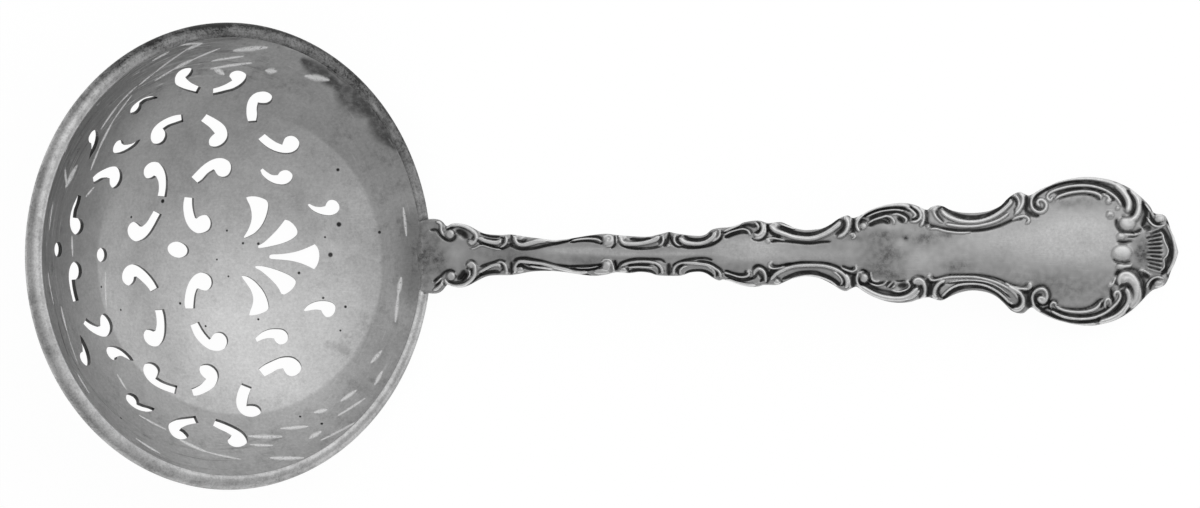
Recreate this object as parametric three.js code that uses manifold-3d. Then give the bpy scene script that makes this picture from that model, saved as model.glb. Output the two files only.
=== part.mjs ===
// Sugar sifter spoon in antique silver: a pierced round bowl, a wire soldered round its rim and a struck handle.
// Lengths are in millimetres and +Z is up. The spoon lies as on a table: +X runs from the bowl to the tip of the
// handle, and the origin is the middle of the small worn flat on which the bowl rests.
import * as THREE from 'three';
import { mergeVertices } from 'three/addons/utils/BufferGeometryUtils.js';
import Module from 'manifold-3d';

const wasm = await Module();
wasm.setup();

// Driving dimensions of the bowl. Its depth is measured outside, from the plane of the rim.
const RIM_DIAMETER = 60;
const BOWL_DEPTH = 13.5;
const SHEET_THICKNESS = 0.5;
const BOWL_TILT = THREE.MathUtils.degToRad(30);
const BOWL_WEAR = 0.18;

// Driving dimensions of the rim wire
const WIRE_WIDTH = 0.95;
const WIRE_HEIGHT = 1.6;

// Driving dimensions of the handle
const HANDLE_LENGTH = 96.3;
const HANDLE_WIDTH = 19.1;
const HANDLE_THICKNESS = 2.4;
const HANDLE_ARCH = 6.2;
const EDGE_ROUNDING = 0.45;
const SCROLL_RELIEF = 0.45;
const SCROLL_ROOT_DEPTH = 0.5;

// Clearances and cuts
const SEAM_GAP = 0.35;
const CUT_OVERRUN = 2;

// Facets
const BOWL_SIDES = 40;
const BOWL_RINGS = 6;
const BACK_FACETS = 9;
const BELLY_FACETS = 2;
const OVAL_FACETS = 10;
const BALL_SIDES = 8;
const BALL_RINGS = 4;
const SCROLL_FACET_PX = 9;

// Sizes that follow from the driving dimensions
const RIM_RADIUS = RIM_DIAMETER / 2;
const LIP_OUTER_RADIUS = RIM_RADIUS - WIRE_WIDTH - SEAM_GAP;
const OUTER_SPHERE = (LIP_OUTER_RADIUS ** 2 + BOWL_DEPTH ** 2) / (2 * BOWL_DEPTH);
const INNER_SPHERE = OUTER_SPHERE - SHEET_THICKNESS;
const LIP_DROP = OUTER_SPHERE - BOWL_DEPTH;
const LIP_RADIUS = Math.sqrt(INNER_SPHERE ** 2 - LIP_DROP ** 2);
const SPHERE_HEIGHT = OUTER_SPHERE - BOWL_WEAR;

// The bowl is turned about the centre of its sphere, which stands over the origin
const bowlFrame = new THREE.Group();
bowlFrame.rotation.y = BOWL_TILT;
bowlFrame.position.z = SPHERE_HEIGHT;
bowlFrame.updateMatrixWorld();

// The photograph that the piercings and the scrolls are read from, in its own pixels, looking straight down. The
// spoon's axis passes through the middle of the frame. The shares are of the radius of the rim.
const FRAME_CENTRE_PX = [600, 254];
const AXIS_RUN_PX = [940, 5.6];
const AXIS_ROLL = Math.atan2(AXIS_RUN_PX[1], AXIS_RUN_PX[0]);
const REST_ALONG_PX = -276;
const RIM_RADIUS_PX = 233.7;
const ROOT_ALONG_PX = -173;
const TIP_ALONG_PX = 577.5;
const HANDLE_WIDTH_PX = 148.8;
const SEEN_TILT = THREE.MathUtils.degToRad(30);
const SEEN_LIP_SHARE = 0.937;
const SEEN_DEPTH_SHARE = 0.433;
const SEEN_EYE_SHARE = 77;

// Commas of the piercing, as photograph pixels. The back is a curve from the tail's outer corner round the head to
// the notch, and the belly a curve from the notch to the tail's inner corner. A straight cut closes the tail.
const COMMAS_PX = [
  // Outer ring, from the left over the top to the handle
  { back: [[88, 159.5], [96, 145.5], [97.8, 135], [94.5, 129.6], [89, 134.5], [88.2, 141.5], [90.3, 143]],
    belly: [[90.6, 147.5], [88.5, 155.5]] },
  { back: [[156.5, 96], [144.5, 97], [135, 103], [129.7, 110], [132, 114.3], [138.5, 111], [141, 104.5]],
    belly: [[145.5, 101], [156.8, 98.2]] },
  { back: [[196.8, 93.3], [184, 89.8], [174.6, 82.5], [176.5, 73], [185.5, 67.8], [192.4, 69.5], [186.4, 79.2]],
    belly: [[190, 82.2], [200.3, 87]] },
  { back: [[212.5, 95.2], [226, 92], [240.5, 86], [246.5, 77], [240, 70.7], [231, 72.2], [231.6, 80.2]],
    belly: [[225, 84], [212.6, 88.3]] },
  { back: [[248.2, 122.6], [246, 109], [249.8, 97], [260, 91.4], [270.3, 94.2], [270.8, 102], [258.2, 104]],
    belly: [[257, 110], [256.4, 122]] },
  { back: [[257.5, 139.2], [272.5, 150.8], [287, 154], [297.5, 149.3], [297.3, 139.2], [289, 135.7],
    [281.8, 144.6]], belly: [[275.5, 142], [264.3, 133.8]] },
  { back: [[260, 170], [273, 183.3], [285, 184.8], [292.5, 177.5], [287.5, 170.4], [277.3, 175]],
    belly: [[272, 174.9], [262.2, 168.3]] },
  { back: [[307, 204.8], [317.5, 213.3], [330, 215.6], [338.3, 210.5], [336.5, 201.7], [328.5, 200.5],
    [325, 206]], belly: [[320, 207], [309.2, 203.8]] },
  // Outer ring, from the handle round the bottom to the left
  { back: [[303.2, 309.8], [313.5, 302], [326, 300.8], [334.6, 305.5], [332.5, 314.8], [325.3, 316.7],
    [321, 310.3]], belly: [[316, 309.6], [304.8, 311.6]] },
  { back: [[255, 338.6], [270, 328.8], [283, 329.3], [288, 337.5], [282.5, 344.3], [273.6, 338.5]],
    belly: [[268, 338.2], [256.5, 342]] },
  { back: [[258, 369], [272, 360.5], [287.5, 356.2], [298.5, 361], [300, 370.8], [291.5, 376.3],
    [282.8, 368.5]], belly: [[277, 369.6], [264, 376.6]] },
  { back: [[241.5, 383.3], [236, 398], [238.5, 411], [248.5, 417], [259, 414.5], [259.8, 407.8],
    [246.8, 404.5]], belly: [[247.5, 400], [251.3, 387.3]] },
  { back: [[215.5, 419], [232, 425.5], [245, 434.5], [245.3, 444.3], [234, 447.2], [227.2, 441.8],
    [231, 435.7]], belly: [[225.5, 432.5], [212.5, 426]] },
  { back: [[194.8, 416.2], [177, 418.6], [168, 425.5], [171, 435], [181, 439.8], [188, 436], [180.3, 428.5]],
    belly: [[185, 426], [198, 423.2]] },
  { back: [[152.8, 410.8], [140.5, 411], [129.5, 404.8], [125.4, 396.5], [131, 393.6], [137.6, 399],
    [138.3, 403]], belly: [[144, 405.3], [154, 408.8]] },
  { back: [[79, 335], [84.5, 343.3], [88.8, 355], [89, 365], [82.5, 363.6], [79, 356], [81.8, 352]],
    belly: [[81.6, 347], [79.5, 338]] },
  // Second ring
  { back: [[139.8, 139.3], [130.5, 149], [119.5, 153.8], [112.5, 151.5], [113.8, 144.2], [119.8, 139.9],
    [123.5, 144.8]], belly: [[128.5, 144.2], [137.3, 139.6]] },
  { back: [[182, 114.2], [162, 120.2], [151.5, 130.5], [151, 141], [159, 144.8], [166.2, 138], [164, 129.8]],
    belly: [[169.5, 126.2], [182.8, 121.5]] },
  { back: [[206, 114], [221, 122.8], [228, 134.5], [223, 144.8], [212.3, 147.3], [208.5, 140], [214.4, 133]],
    belly: [[210.5, 128.6], [200.2, 121]] },
  { back: [[92, 177.2], [109.5, 166.8], [119.5, 169], [121.2, 180], [116, 187.8], [110.5, 186.5],
    [108.9, 178.2]], belly: [[103.3, 178.8], [93.2, 184]] },
  { back: [[77.3, 194.8], [70, 213], [69.8, 228], [76.3, 235], [82.4, 228.5], [80.8, 219.5], [75.2, 218]],
    belly: [[76.2, 210.5], [80.3, 196]] },
  { back: [[72.3, 302], [67.9, 275], [71, 263.5], [77.8, 262.8], [81, 272], [77.3, 279.4], [74, 279.5]],
    belly: [[74.8, 286.5], [78, 300.5]] },
  { back: [[82.6, 324], [95.5, 334.5], [107.5, 336], [112, 327], [108.5, 317.5], [102, 314], [99.6, 326.2]],
    belly: [[95, 324.6], [85.5, 318.2]] },
  { back: [[133, 361], [121.5, 349], [111, 346], [105.7, 350.8], [109.8, 358.5], [115.8, 359.5],
    [116.3, 356.8]], belly: [[120, 356], [130.5, 361]] },
  { back: [[175, 394.3], [159, 388.5], [147, 379.8], [142.6, 369], [147.5, 362.6], [157, 365.5],
    [156.8, 377.5]], belly: [[163, 381.3], [176.8, 386]] },
  { back: [[193, 396], [211, 389], [218.3, 377.5], [214.8, 367.5], [205, 364], [199, 368.8], [205.7, 379.3]],
    belly: [[202, 383.2], [190.8, 388.8]] },
  // Inner ring round the middle oval
  { back: [[165.8, 197], [166.8, 176], [160, 163.8], [150.5, 162.2], [143.2, 173.8], [149, 179],
    [155.6, 176.3]], belly: [[157.9, 182], [157, 196.3]] },
  { back: [[191, 176.8], [202.5, 165.3], [216, 158.2], [228, 161], [231.3, 171], [224, 177.6],
    [214.4, 170.2]], belly: [[208.5, 174], [198, 183.6]] },
  { back: [[161.2, 214.5], [149.5, 234.5], [138, 241.4], [128.3, 236], [128.5, 225], [135, 221.9],
    [141.3, 226.7]], belly: [[146, 222.5], [153.3, 210.3]] },
  { back: [[158.3, 287.5], [143.5, 268.8], [131, 264.4], [122, 272.5], [124, 283.5], [131.8, 284.5],
    [135.8, 276.5]], belly: [[141, 281], [150.5, 292]] },
  { back: [[184, 197], [184.8, 220], [193.8, 231.8], [205.5, 232.3], [211.5, 224], [207.3, 215.6],
    [196.2, 218.5]], belly: [[194.5, 213], [193.2, 198]] },
  { back: [[185, 308.5], [186, 289], [193.5, 275.8], [203.8, 272.6], [211.8, 278.8], [210, 288.5],
    [197.8, 288.4]], belly: [[195.8, 294], [194.3, 308.5]] },
  { back: [[163.5, 309.3], [165.6, 332], [160, 344.5], [149.5, 345.5], [143, 336.5], [147, 329.3],
    [154.9, 330.8]], belly: [[156, 324.5], [154.2, 309.8]] },
  { back: [[189.8, 325.2], [200, 343], [213.5, 350.8], [225, 347.5], [227, 337.5], [220, 332], [210.3, 338.8]],
    belly: [[206.5, 334.5], [198.5, 321.8]] },
];

// Five rays that fan out towards the handle, as photograph pixels, each going once round
const RAYS_PX = [
  [[244, 238.6], [255.5, 232.8], [263.5, 223], [267.6, 211.5], [267, 201], [256, 196.4], [245.8, 197.3],
    [250.8, 210], [249.5, 226]],
  [[258, 248], [281, 243.8], [294.5, 237.2], [296.8, 229.5], [284.6, 219.6], [275.5, 231], [257.8, 245.6]],
  [[269.5, 257.6], [300, 263], [313.8, 269.2], [318.2, 261.5], [318.8, 252.5], [314.5, 244.2], [300, 250.4],
    [270, 254.6]],
  [[255.3, 268], [255, 266], [271, 268], [287.5, 274.2], [295.6, 280.6], [292.5, 288.3], [283.5, 294.6],
    [272.5, 281.3]],
  [[240.8, 275.3], [253.5, 280], [263.8, 291.5], [268.7, 305], [262, 313], [248.7, 315.3], [252.8, 299],
    [249, 287]],
];

// Ovals of the piercing, as photograph pixels: centre, half axes and turn in degrees
const OVALS_PX = [
  { centre: [57.3, 249.5], half: [3.9, 8], turn: 0 },
  { centre: [101.2, 254.9], half: [5.2, 7.5], turn: 0 },
  { centre: [177.8, 249.7], half: [11, 8], turn: 12 },
];

// Outline of the handle, as photograph pixels, from the root to the tip
const UPPER_EDGE_PX = [
  [420, 221], [435, 219.5], [440, 220.5], [446, 225], [453, 223.2], [463, 224], [470, 226.5], [478, 231],
  [486, 234], [500, 235], [511, 234.5], [526, 236.8], [540, 238.5], [552, 240], [565, 239.3], [578, 237.2],
  [592, 235], [605, 233.8], [613, 234.5], [622, 235.5], [645, 236.8], [656, 235], [664, 233], [669, 232],
  [676, 233.5], [690, 235.3], [700, 235.8], [706, 234], [711, 230], [718, 228], [730, 227], [738, 224.5],
  [745, 222], [758, 220.5], [768, 223], [780, 222], [788, 225], [796, 228.5], [805, 230], [814, 229.6],
  [822, 228.3], [830, 224.5], [837, 219.5], [843, 216.5], [848, 215.5], [853, 218], [862, 214.5], [870, 210],
  [880, 206.3], [890, 204], [900, 203], [908, 203.5], [916, 205.5], [926, 209.8], [931, 207], [937, 205.5],
  [943, 206.3], [950, 209.8], [960, 212.3], [970, 213], [980, 212.5], [990, 210.5], [1000, 206], [1007, 199],
  [1013, 194.5], [1020, 192], [1029, 195.3], [1040, 189.3], [1050, 185.3], [1060, 181], [1070, 178.8],
  [1080, 177.3], [1090, 177], [1100, 178], [1110, 180], [1120, 183.5], [1130, 188.5], [1138, 194.5],
  [1145, 201], [1150, 206.5], [1154, 213], [1163, 214.8], [1167, 219], [1171, 230], [1174.5, 238], [1177, 247],
];
const LOWER_EDGE_PX = [
  [420, 292], [441, 293], [446, 288], [449, 286], [455, 287.3], [463, 287.3], [470, 284.5], [478, 280.2],
  [486, 276.5], [494, 275.3], [511, 275], [524, 272.8], [532, 271.5], [545, 270.8], [560, 271.5], [572, 273.3],
  [584, 275], [595, 275.8], [606, 274.5], [616, 272.3], [629, 273], [640, 271.8], [650, 273], [657, 275.3],
  [669, 275.8], [681, 275.5], [690, 272.5], [700, 271.8], [707, 274], [713, 278], [719, 280.5], [723, 279.5],
  [730, 281.5], [740, 285], [750, 286.8], [758, 286.5], [764, 285], [776, 285], [782, 283], [790, 279.5],
  [800, 277], [808, 276.3], [818, 277.8], [826, 281], [834, 285.5], [841, 290], [846, 291], [850, 289],
  [856, 286.8], [862, 290.5], [870, 295.3], [880, 299.5], [890, 302], [900, 302.8], [910, 302], [918, 299.5],
  [928, 297.3], [938, 300.2], [943, 300], [950, 296.5], [960, 292.5], [970, 290.5], [980, 291], [990, 293.5],
  [998, 298], [1005, 304.5], [1011, 310.5], [1018, 313.2], [1024, 312.8], [1031, 307.5], [1037, 311],
  [1046, 316], [1056, 319.8], [1066, 322.5], [1078, 325], [1090, 325.8], [1100, 324.5], [1112, 321.5],
  [1122, 316.8], [1132, 310], [1140, 302.5], [1146, 296], [1152, 290.5], [1158, 288.2], [1163, 286],
  [1167, 281.5], [1171, 271], [1174.5, 264], [1177, 257],
];
const ROOT_END_PX = 444;

// Side view of the handle from the root to the tip: share of the length, share of the root's height, share of the
// arch and share of the thickness
const SIDE_SHARES = [
  [0, 1, 0, 0.72], [0.05, 0.8, 0.2, 0.85], [0.1, 0.55, 0.39, 0.98], [0.2, 0.2, 0.71, 1], [0.35, 0, 0.96, 1],
  [0.5, 0, 1, 0.95], [0.65, 0, 0.83, 0.87], [0.8, 0, 0.45, 0.76], [0.88, 0, 0.19, 0.7], [0.94, 0, 0, 0.66],
  [0.985, 0, 0, 0.62], [1, 0, 0.03, 0.55],
];
const WAIST_SHARE = 0.45;
const ROUNDING_SHARE = 0.2;

// Raised scrolls of the borders, as photograph pixels on curves along their crests, with half their width
const SCROLLS_PX = [
  // Upper border, from the root to the tip
  { half: 1.8, crest: [[433, 222.5], [440, 224.5], [441, 231], [443, 236]] },
  { half: 2, crest: [[446, 229], [454, 225], [466, 227.5], [474.5, 235.5], [471, 243]] },
  { half: 2.2, crest: [[478, 238], [491, 242], [501, 240.5]] },
  { half: 2.3, crest: [[514, 238], [520, 244.2], [534, 242.5], [552, 242], [568, 239.8]] },
  { half: 2.2, crest: [[619, 237.5], [624.5, 243.7], [641, 243.2], [659, 237]] },
  { half: 2.3, crest: [[679.5, 238.5], [690, 243.5], [705, 242], [715, 231.5]] },
  { half: 1.5, crest: [[724, 235.5], [737, 229.6], [749.5, 235]] },
  { half: 1.8, crest: [[761.5, 224], [761.5, 233], [754, 235]] },
  { half: 2.4, crest: [[771, 226], [779, 232.8], [796, 237.5], [815, 237.3], [830, 230.7], [840, 221]] },
  { half: 2.2, crest: [[857.5, 224], [864, 214.5], [882, 207.2], [903, 206.2], [915, 213.5], [913, 218]] },
  { half: 2.3, crest: [[941, 211], [951, 218.2], [970, 221.7], [990, 217.3], [1007, 206], [1011, 200]] },
  { half: 2, crest: [[1032.5, 204], [1039, 193], [1057, 184.8], [1080, 180.2], [1105, 182.8], [1116, 187.3]] },
  { half: 1.4, crest: [[1057, 198.5], [1073, 192.6], [1090, 191.3], [1105, 196.5]] },
  { half: 3, crest: [[1121, 190], [1128, 199.5], [1127, 210]] },
  { half: 2.6, crest: [[1131, 192.5], [1138, 203], [1137, 215], [1132.5, 221]] },
  // Lower border, from the root to the tip
  { half: 1.6, crest: [[432, 290], [441, 283.5], [443, 279]] },
  { half: 2, crest: [[444.5, 278], [452, 285], [466.5, 282.5], [473.3, 272.5], [469, 264.5]] },
  { half: 2, crest: [[478.5, 271.8], [492, 266.3], [503, 265.5]] },
  { half: 2.2, crest: [[514.5, 272], [521, 262.3], [540, 264.8], [558, 269.3], [579, 272.4], [590, 273]] },
  { half: 2, crest: [[618, 271], [625, 264.5], [643, 262.6], [657, 266], [660.3, 273.5]] },
  { half: 2.2, crest: [[674, 273.5], [679, 266], [694, 262.4], [711, 265.3], [719.3, 278]] },
  { half: 1.5, crest: [[724, 272], [738, 277], [748, 274.5]] },
  { half: 1.8, crest: [[754, 274.5], [758.5, 268.5], [765.3, 275.5], [765.5, 281]] },
  { half: 2.4, crest: [[772, 279], [782, 270.8], [802, 267], [824, 268.2], [840.5, 275.5], [847, 287]] },
  { half: 2.4, crest: [[857.5, 278], [864, 288.8], [882, 296.5], [903, 298.2], [916.5, 292]] },
  { half: 2.3, crest: [[934, 296], [940, 284.8], [956, 278.4], [980, 278], [1003, 285], [1017.5, 296.5],
    [1019.5, 303.5]] },
  { half: 2, crest: [[1033, 297], [1039, 308.5], [1057, 317.3], [1080, 322.4], [1105, 319.7], [1116, 315]] },
  { half: 1.4, crest: [[1058, 307], [1079, 311.8], [1100, 309]] },
  { half: 3, crest: [[1126.5, 291], [1128, 304], [1122.5, 310.5]] },
  { half: 2.6, crest: [[1124, 274.5], [1134.5, 279], [1138.5, 293], [1130.5, 306.5]] },
  // Rim of the shell at the tip
  { half: 2.4, crest: [[1163, 222], [1171.5, 235], [1174.6, 251.5], [1171, 267.5], [1163, 278.5]] },
];

// Raised balls and lobes, as photograph pixels: centre and half axes
const BALLS_PX = [
  { centre: [449.5, 234], half: [5, 5] },
  { centre: [470, 242], half: [3.2, 3.2] },
  { centre: [519.5, 239], half: [3.8, 3] },
  { centre: [607.5, 240.5], half: [6, 6] },
  { centre: [774, 228], half: [3.2, 3.2] },
  { centre: [863, 226], half: [4.2, 4.2] },
  { centre: [1040, 205], half: [5.6, 6] },
  { centre: [1127.5, 223], half: [9, 7.4] },
  { centre: [1159.5, 219.5], half: [4.6, 4.4] },
  { centre: [450.5, 276], half: [5, 5] },
  { centre: [470, 265.5], half: [3.4, 3.4] },
  { centre: [519.8, 269.5], half: [3.6, 3.2] },
  { centre: [605.5, 267], half: [6, 5.5] },
  { centre: [776, 280.5], half: [3.6, 3.2] },
  { centre: [863.5, 278.5], half: [5, 5] },
  { centre: [918, 283], half: [4.5, 4.5] },
  { centre: [1042, 296.5], half: [6.5, 6.5] },
  { centre: [1122.5, 279.5], half: [5.2, 5.4] },
  { centre: [1159, 281.5], half: [4.6, 4.4] },
  { centre: [1122, 252], half: [11, 8] },
  { centre: [1122, 236], half: [5.5, 3.4] },
  { centre: [1120.5, 266.7], half: [5.5, 3.6] },
];

// Flutes of the shell: how many, where each row of ends lies, and the half width, as photograph pixels
const FLUTES = 7;
const FLUTE_MIDDLE_PX = 252;
const FLUTE_STARTS_PX = { station: 1141, spread: 22 };
const FLUTE_ENDS_PX = { station: 1164, spread: 31 };
const FLUTE_HALF_PX = 1.5;

const silver = (roughness) => new THREE.MeshStandardMaterial({ color: 0x9c9c9a, roughness, metalness: 1 });

// Turns a closed geometry into a solid that can be joined and cut
function solidOf(geometry) {
  geometry.deleteAttribute('normal');
  geometry.deleteAttribute('uv');
  const merged = mergeVertices(geometry);
  return new wasm.Manifold(new wasm.Mesh({
    numProp: 3,
    vertProperties: merged.attributes.position.array,
    triVerts: new Uint32Array(merged.index.array),
  }));
}

function geometryOf(solid) {
  const { vertProperties, triVerts } = solid.getMesh();
  const geometry = new THREE.BufferGeometry();
  geometry.setAttribute('position', new THREE.BufferAttribute(new Float32Array(vertProperties), 3));
  geometry.setIndex(new THREE.BufferAttribute(new Uint32Array(triVerts), 1));
  geometry.computeVertexNormals();
  return geometry;
}

function named(name, solid, roughness) {
  const mesh = new THREE.Mesh(geometryOf(solid), silver(roughness));
  mesh.name = name;
  return mesh;
}

// Distance of a photograph pixel along the spoon's axis and to its upper side, from the middle of the frame
function alongAcross([x, y]) {
  const right = x - FRAME_CENTRE_PX[0];
  const down = y - FRAME_CENTRE_PX[1];
  return [
    right * Math.cos(AXIS_ROLL) - down * Math.sin(AXIS_ROLL),
    -right * Math.sin(AXIS_ROLL) - down * Math.cos(AXIS_ROLL),
  ];
}

const curveOf = (pixels) => new THREE.SplineCurve(pixels.map((pixel) => new THREE.Vector2(...pixel)));

// Where the line of sight through a photograph pixel meets the inside of the bowl, as shares of the lip's radius in
// the bowl's own frame. Lengths here are in radii of the rim.
function lipShares(pixel) {
  const [along, across] = alongAcross(pixel);
  const sphere = (SEEN_LIP_SHARE ** 2 + SEEN_DEPTH_SHARE ** 2) / (2 * SEEN_DEPTH_SHARE);
  const foot = new THREE.Vector3((along - REST_ALONG_PX) / RIM_RADIUS_PX, across / RIM_RADIUS_PX, 0);
  const eye = new THREE.Vector3(-REST_ALONG_PX / RIM_RADIUS_PX, 0, SEEN_EYE_SHARE);
  const sight = foot.clone().sub(eye).normalize();
  const fromCentre = eye.clone().sub(new THREE.Vector3(0, 0, sphere));
  const half = fromCentre.dot(sight);
  const reach = Math.sqrt(half ** 2 - fromCentre.lengthSq() + sphere ** 2) - half;
  const hit = fromCentre.addScaledVector(sight, reach);
  hit.applyAxisAngle(new THREE.Vector3(0, 1, 0), -SEEN_TILT);
  return [hit.x / SEEN_LIP_SHARE, hit.y / SEEN_LIP_SHARE];
}

// Profile of a sphere's bottom, from the pole out to where it meets the plane of the rim
function spherePoints(radius) {
  const lipAngle = Math.acos(LIP_DROP / radius);
  return Array.from({ length: BOWL_RINGS + 1 }, (_, ring) => {
    const angle = lipAngle * ring / BOWL_RINGS;
    return new THREE.Vector2(radius * Math.sin(angle), -radius * Math.cos(angle));
  });
}

function turnedSolid(profile) {
  return solidOf(new THREE.LatheGeometry(profile, BOWL_SIDES).rotateX(Math.PI / 2));
}

function bowlSheet() {
  return turnedSolid([...spherePoints(OUTER_SPHERE), ...spherePoints(INNER_SPHERE).reverse()]);
}

// A saw cut square to the sheet, with an outline given in photograph pixels
function sawCut(outlinePx) {
  const plan = outlinePx.map((pixel) => new THREE.Vector2(...lipShares(pixel)).multiplyScalar(LIP_RADIUS));
  const outline = THREE.ShapeUtils.isClockWise(plan) ? plan.slice().reverse() : plan;
  const count = outline.length;
  const onSphere = (radius) => outline.map(({ x, y }) => {
    const down = -Math.sqrt(INNER_SPHERE ** 2 - x ** 2 - y ** 2);
    return new THREE.Vector3(x, y, down).setLength(radius);
  });
  const points = [...onSphere(OUTER_SPHERE + CUT_OVERRUN), ...onSphere(INNER_SPHERE - CUT_OVERRUN)];
  const faces = [];
  for (let side = 0; side < count; side += 1) {
    const beside = (side + 1) % count;
    faces.push(side, beside, side + count);
    faces.push(beside, beside + count, side + count);
  }
  for (const [a, b, c] of THREE.ShapeUtils.triangulateShape(outline, [])) {
    faces.push(a, c, b);
    faces.push(a + count, b + count, c + count);
  }
  const geometry = new THREE.BufferGeometry().setFromPoints(points);
  geometry.setIndex(faces);
  return solidOf(geometry);
}

function commaOutline({ back, belly }) {
  const notch = back[back.length - 1];
  const backPoints = curveOf(back).getSpacedPoints(BACK_FACETS);
  const bellyPoints = curveOf([notch, ...belly]).getSpacedPoints(BELLY_FACETS).slice(1);
  return [...backPoints, ...bellyPoints].map(({ x, y }) => [x, y]);
}

function ovalOutline({ centre, half, turn }) {
  const curve = new THREE.EllipseCurve(...centre, ...half, 0, 2 * Math.PI, false, THREE.MathUtils.degToRad(turn));
  return curve.getPoints(OVAL_FACETS).slice(1).map(({ x, y }) => [x, y]);
}

// The space under the table, seen from the bowl's own frame
function underTable() {
  const block = new THREE.BoxGeometry(RIM_DIAMETER, RIM_DIAMETER, RIM_DIAMETER).translate(0, 0, -RIM_RADIUS);
  return solidOf(block.applyMatrix4(bowlFrame.matrixWorld.clone().invert()));
}

function piercedBowl() {
  let sheet = bowlSheet();
  for (const outline of [...COMMAS_PX.map(commaOutline), ...RAYS_PX, ...OVALS_PX.map(ovalOutline)]) {
    sheet = sheet.subtract(sawCut(outline));
  }
  return sheet.subtract(underTable());
}

// Section of the rim wire, round outside and flat against the sheet: shares of its width at the top and its height
const WIRE_ROUND_SHARES = [[0.5, 0], [0.86, 0.1], [1, 0.36], [1, 0.64], [0.86, 0.86], [0.5, 1]];
const WIRE_FOOT_SHARE = 0.92;

function rimWire() {
  const sheetRadius = (drop) => Math.sqrt(OUTER_SPHERE ** 2 - (LIP_DROP + drop) ** 2) + SEAM_GAP;
  const at = (radius, drop) => new THREE.Vector2(radius, -LIP_DROP - drop);
  const foot = WIRE_HEIGHT * WIRE_FOOT_SHARE;
  const outside = WIRE_ROUND_SHARES.map(([out, down]) => at(sheetRadius(0) + out * WIRE_WIDTH, down * WIRE_HEIGHT));
  const inside = [at(sheetRadius(0), 0), at(sheetRadius(foot), foot)];
  const ring = turnedSolid([...inside, ...outside.reverse(), inside[0]]);
  const gap = new THREE.BoxGeometry(RIM_DIAMETER, 2 * (rootHalfWidth() + SEAM_GAP), RIM_DIAMETER);
  return ring.subtract(solidOf(gap.translate(RIM_RADIUS, 0, -LIP_DROP)));
}

// Place of the handle's root: the outer edge of the lip on the handle's side, and how high it lies
const ROOT_RADIUS = LIP_OUTER_RADIUS + SEAM_GAP;
const ROOT_X = ROOT_RADIUS * Math.cos(BOWL_TILT) - LIP_DROP * Math.sin(BOWL_TILT);
const ROOT_TOP = SPHERE_HEIGHT - ROOT_RADIUS * Math.sin(BOWL_TILT) - LIP_DROP * Math.cos(BOWL_TILT) + SEAM_GAP;
const ROOT_HEIGHT = ROOT_TOP - HANDLE_THICKNESS * SIDE_SHARES[0][3];

// Place of a photograph pixel on the handle's plan
function handlePlan(pixel) {
  const [along, across] = alongAcross(pixel);
  const share = (along - ROOT_ALONG_PX) / (TIP_ALONG_PX - ROOT_ALONG_PX);
  return [ROOT_X + share * HANDLE_LENGTH, across * HANDLE_WIDTH / HANDLE_WIDTH_PX];
}

function rootHalfWidth() {
  const edge = [...UPPER_EDGE_PX, ...LOWER_EDGE_PX].filter(([station]) => station < ROOT_END_PX);
  return Math.max(...edge.map((pixel) => Math.abs(handlePlan(pixel)[1])));
}

// Value in a column of a table of points, with straight lines between the points
function between(points, place, column) {
  const next = points.findIndex((point) => point[0] > place);
  if (next === 0) return points[0][column];
  if (next < 0) return points[points.length - 1][column];
  const [before, after] = [points[next - 1], points[next]];
  return THREE.MathUtils.mapLinear(place, before[0], after[0], before[column], after[column]);
}

// Underside, thickness and face of the handle at a place along it
function sideView(x) {
  const share = (x - ROOT_X) / HANDLE_LENGTH;
  const underside = ROOT_HEIGHT * between(SIDE_SHARES, share, 1) + HANDLE_ARCH * between(SIDE_SHARES, share, 2);
  const thickness = HANDLE_THICKNESS * between(SIDE_SHARES, share, 3);
  return { underside, thickness, face: underside + thickness - SCROLL_RELIEF };
}

// A closed solid through a row of rings with equal counts of points
function ringSolid(rings) {
  const count = rings[0].length;
  const faces = [];
  for (let ring = 0; ring + 1 < rings.length; ring += 1) {
    for (let side = 0; side < count; side += 1) {
      const here = ring * count + side;
      const beside = ring * count + (side + 1) % count;
      faces.push(here, beside, here + count);
      faces.push(beside, beside + count, here + count);
    }
  }
  const last = (rings.length - 1) * count;
  for (let side = 1; side + 1 < count; side += 1) {
    faces.push(0, side + 1, side);
    faces.push(last, last + side, last + side + 1);
  }
  const geometry = new THREE.BufferGeometry().setFromPoints(rings.flat());
  geometry.setIndex(faces);
  return solidOf(geometry);
}

// One cross-section of the handle's body, from edge to edge
function bodySection(stationPx) {
  const [x, upper] = handlePlan([stationPx, between(UPPER_EDGE_PX, stationPx, 1)]);
  const [, lower] = handlePlan([stationPx, between(LOWER_EDGE_PX, stationPx, 1)]);
  const { underside, thickness, face } = sideView(x);
  const rounding = Math.min(EDGE_ROUNDING, (upper - lower) * ROUNDING_SHARE);
  const waist = underside + thickness * WAIST_SHARE;
  return [
    new THREE.Vector3(x, lower + rounding, underside),
    new THREE.Vector3(x, upper - rounding, underside),
    new THREE.Vector3(x, upper, waist),
    new THREE.Vector3(x, upper - rounding / 2, face),
    new THREE.Vector3(x, (upper + lower) / 2, face + SCROLL_RELIEF / 4),
    new THREE.Vector3(x, lower + rounding / 2, face),
    new THREE.Vector3(x, lower, waist),
  ];
}

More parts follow.
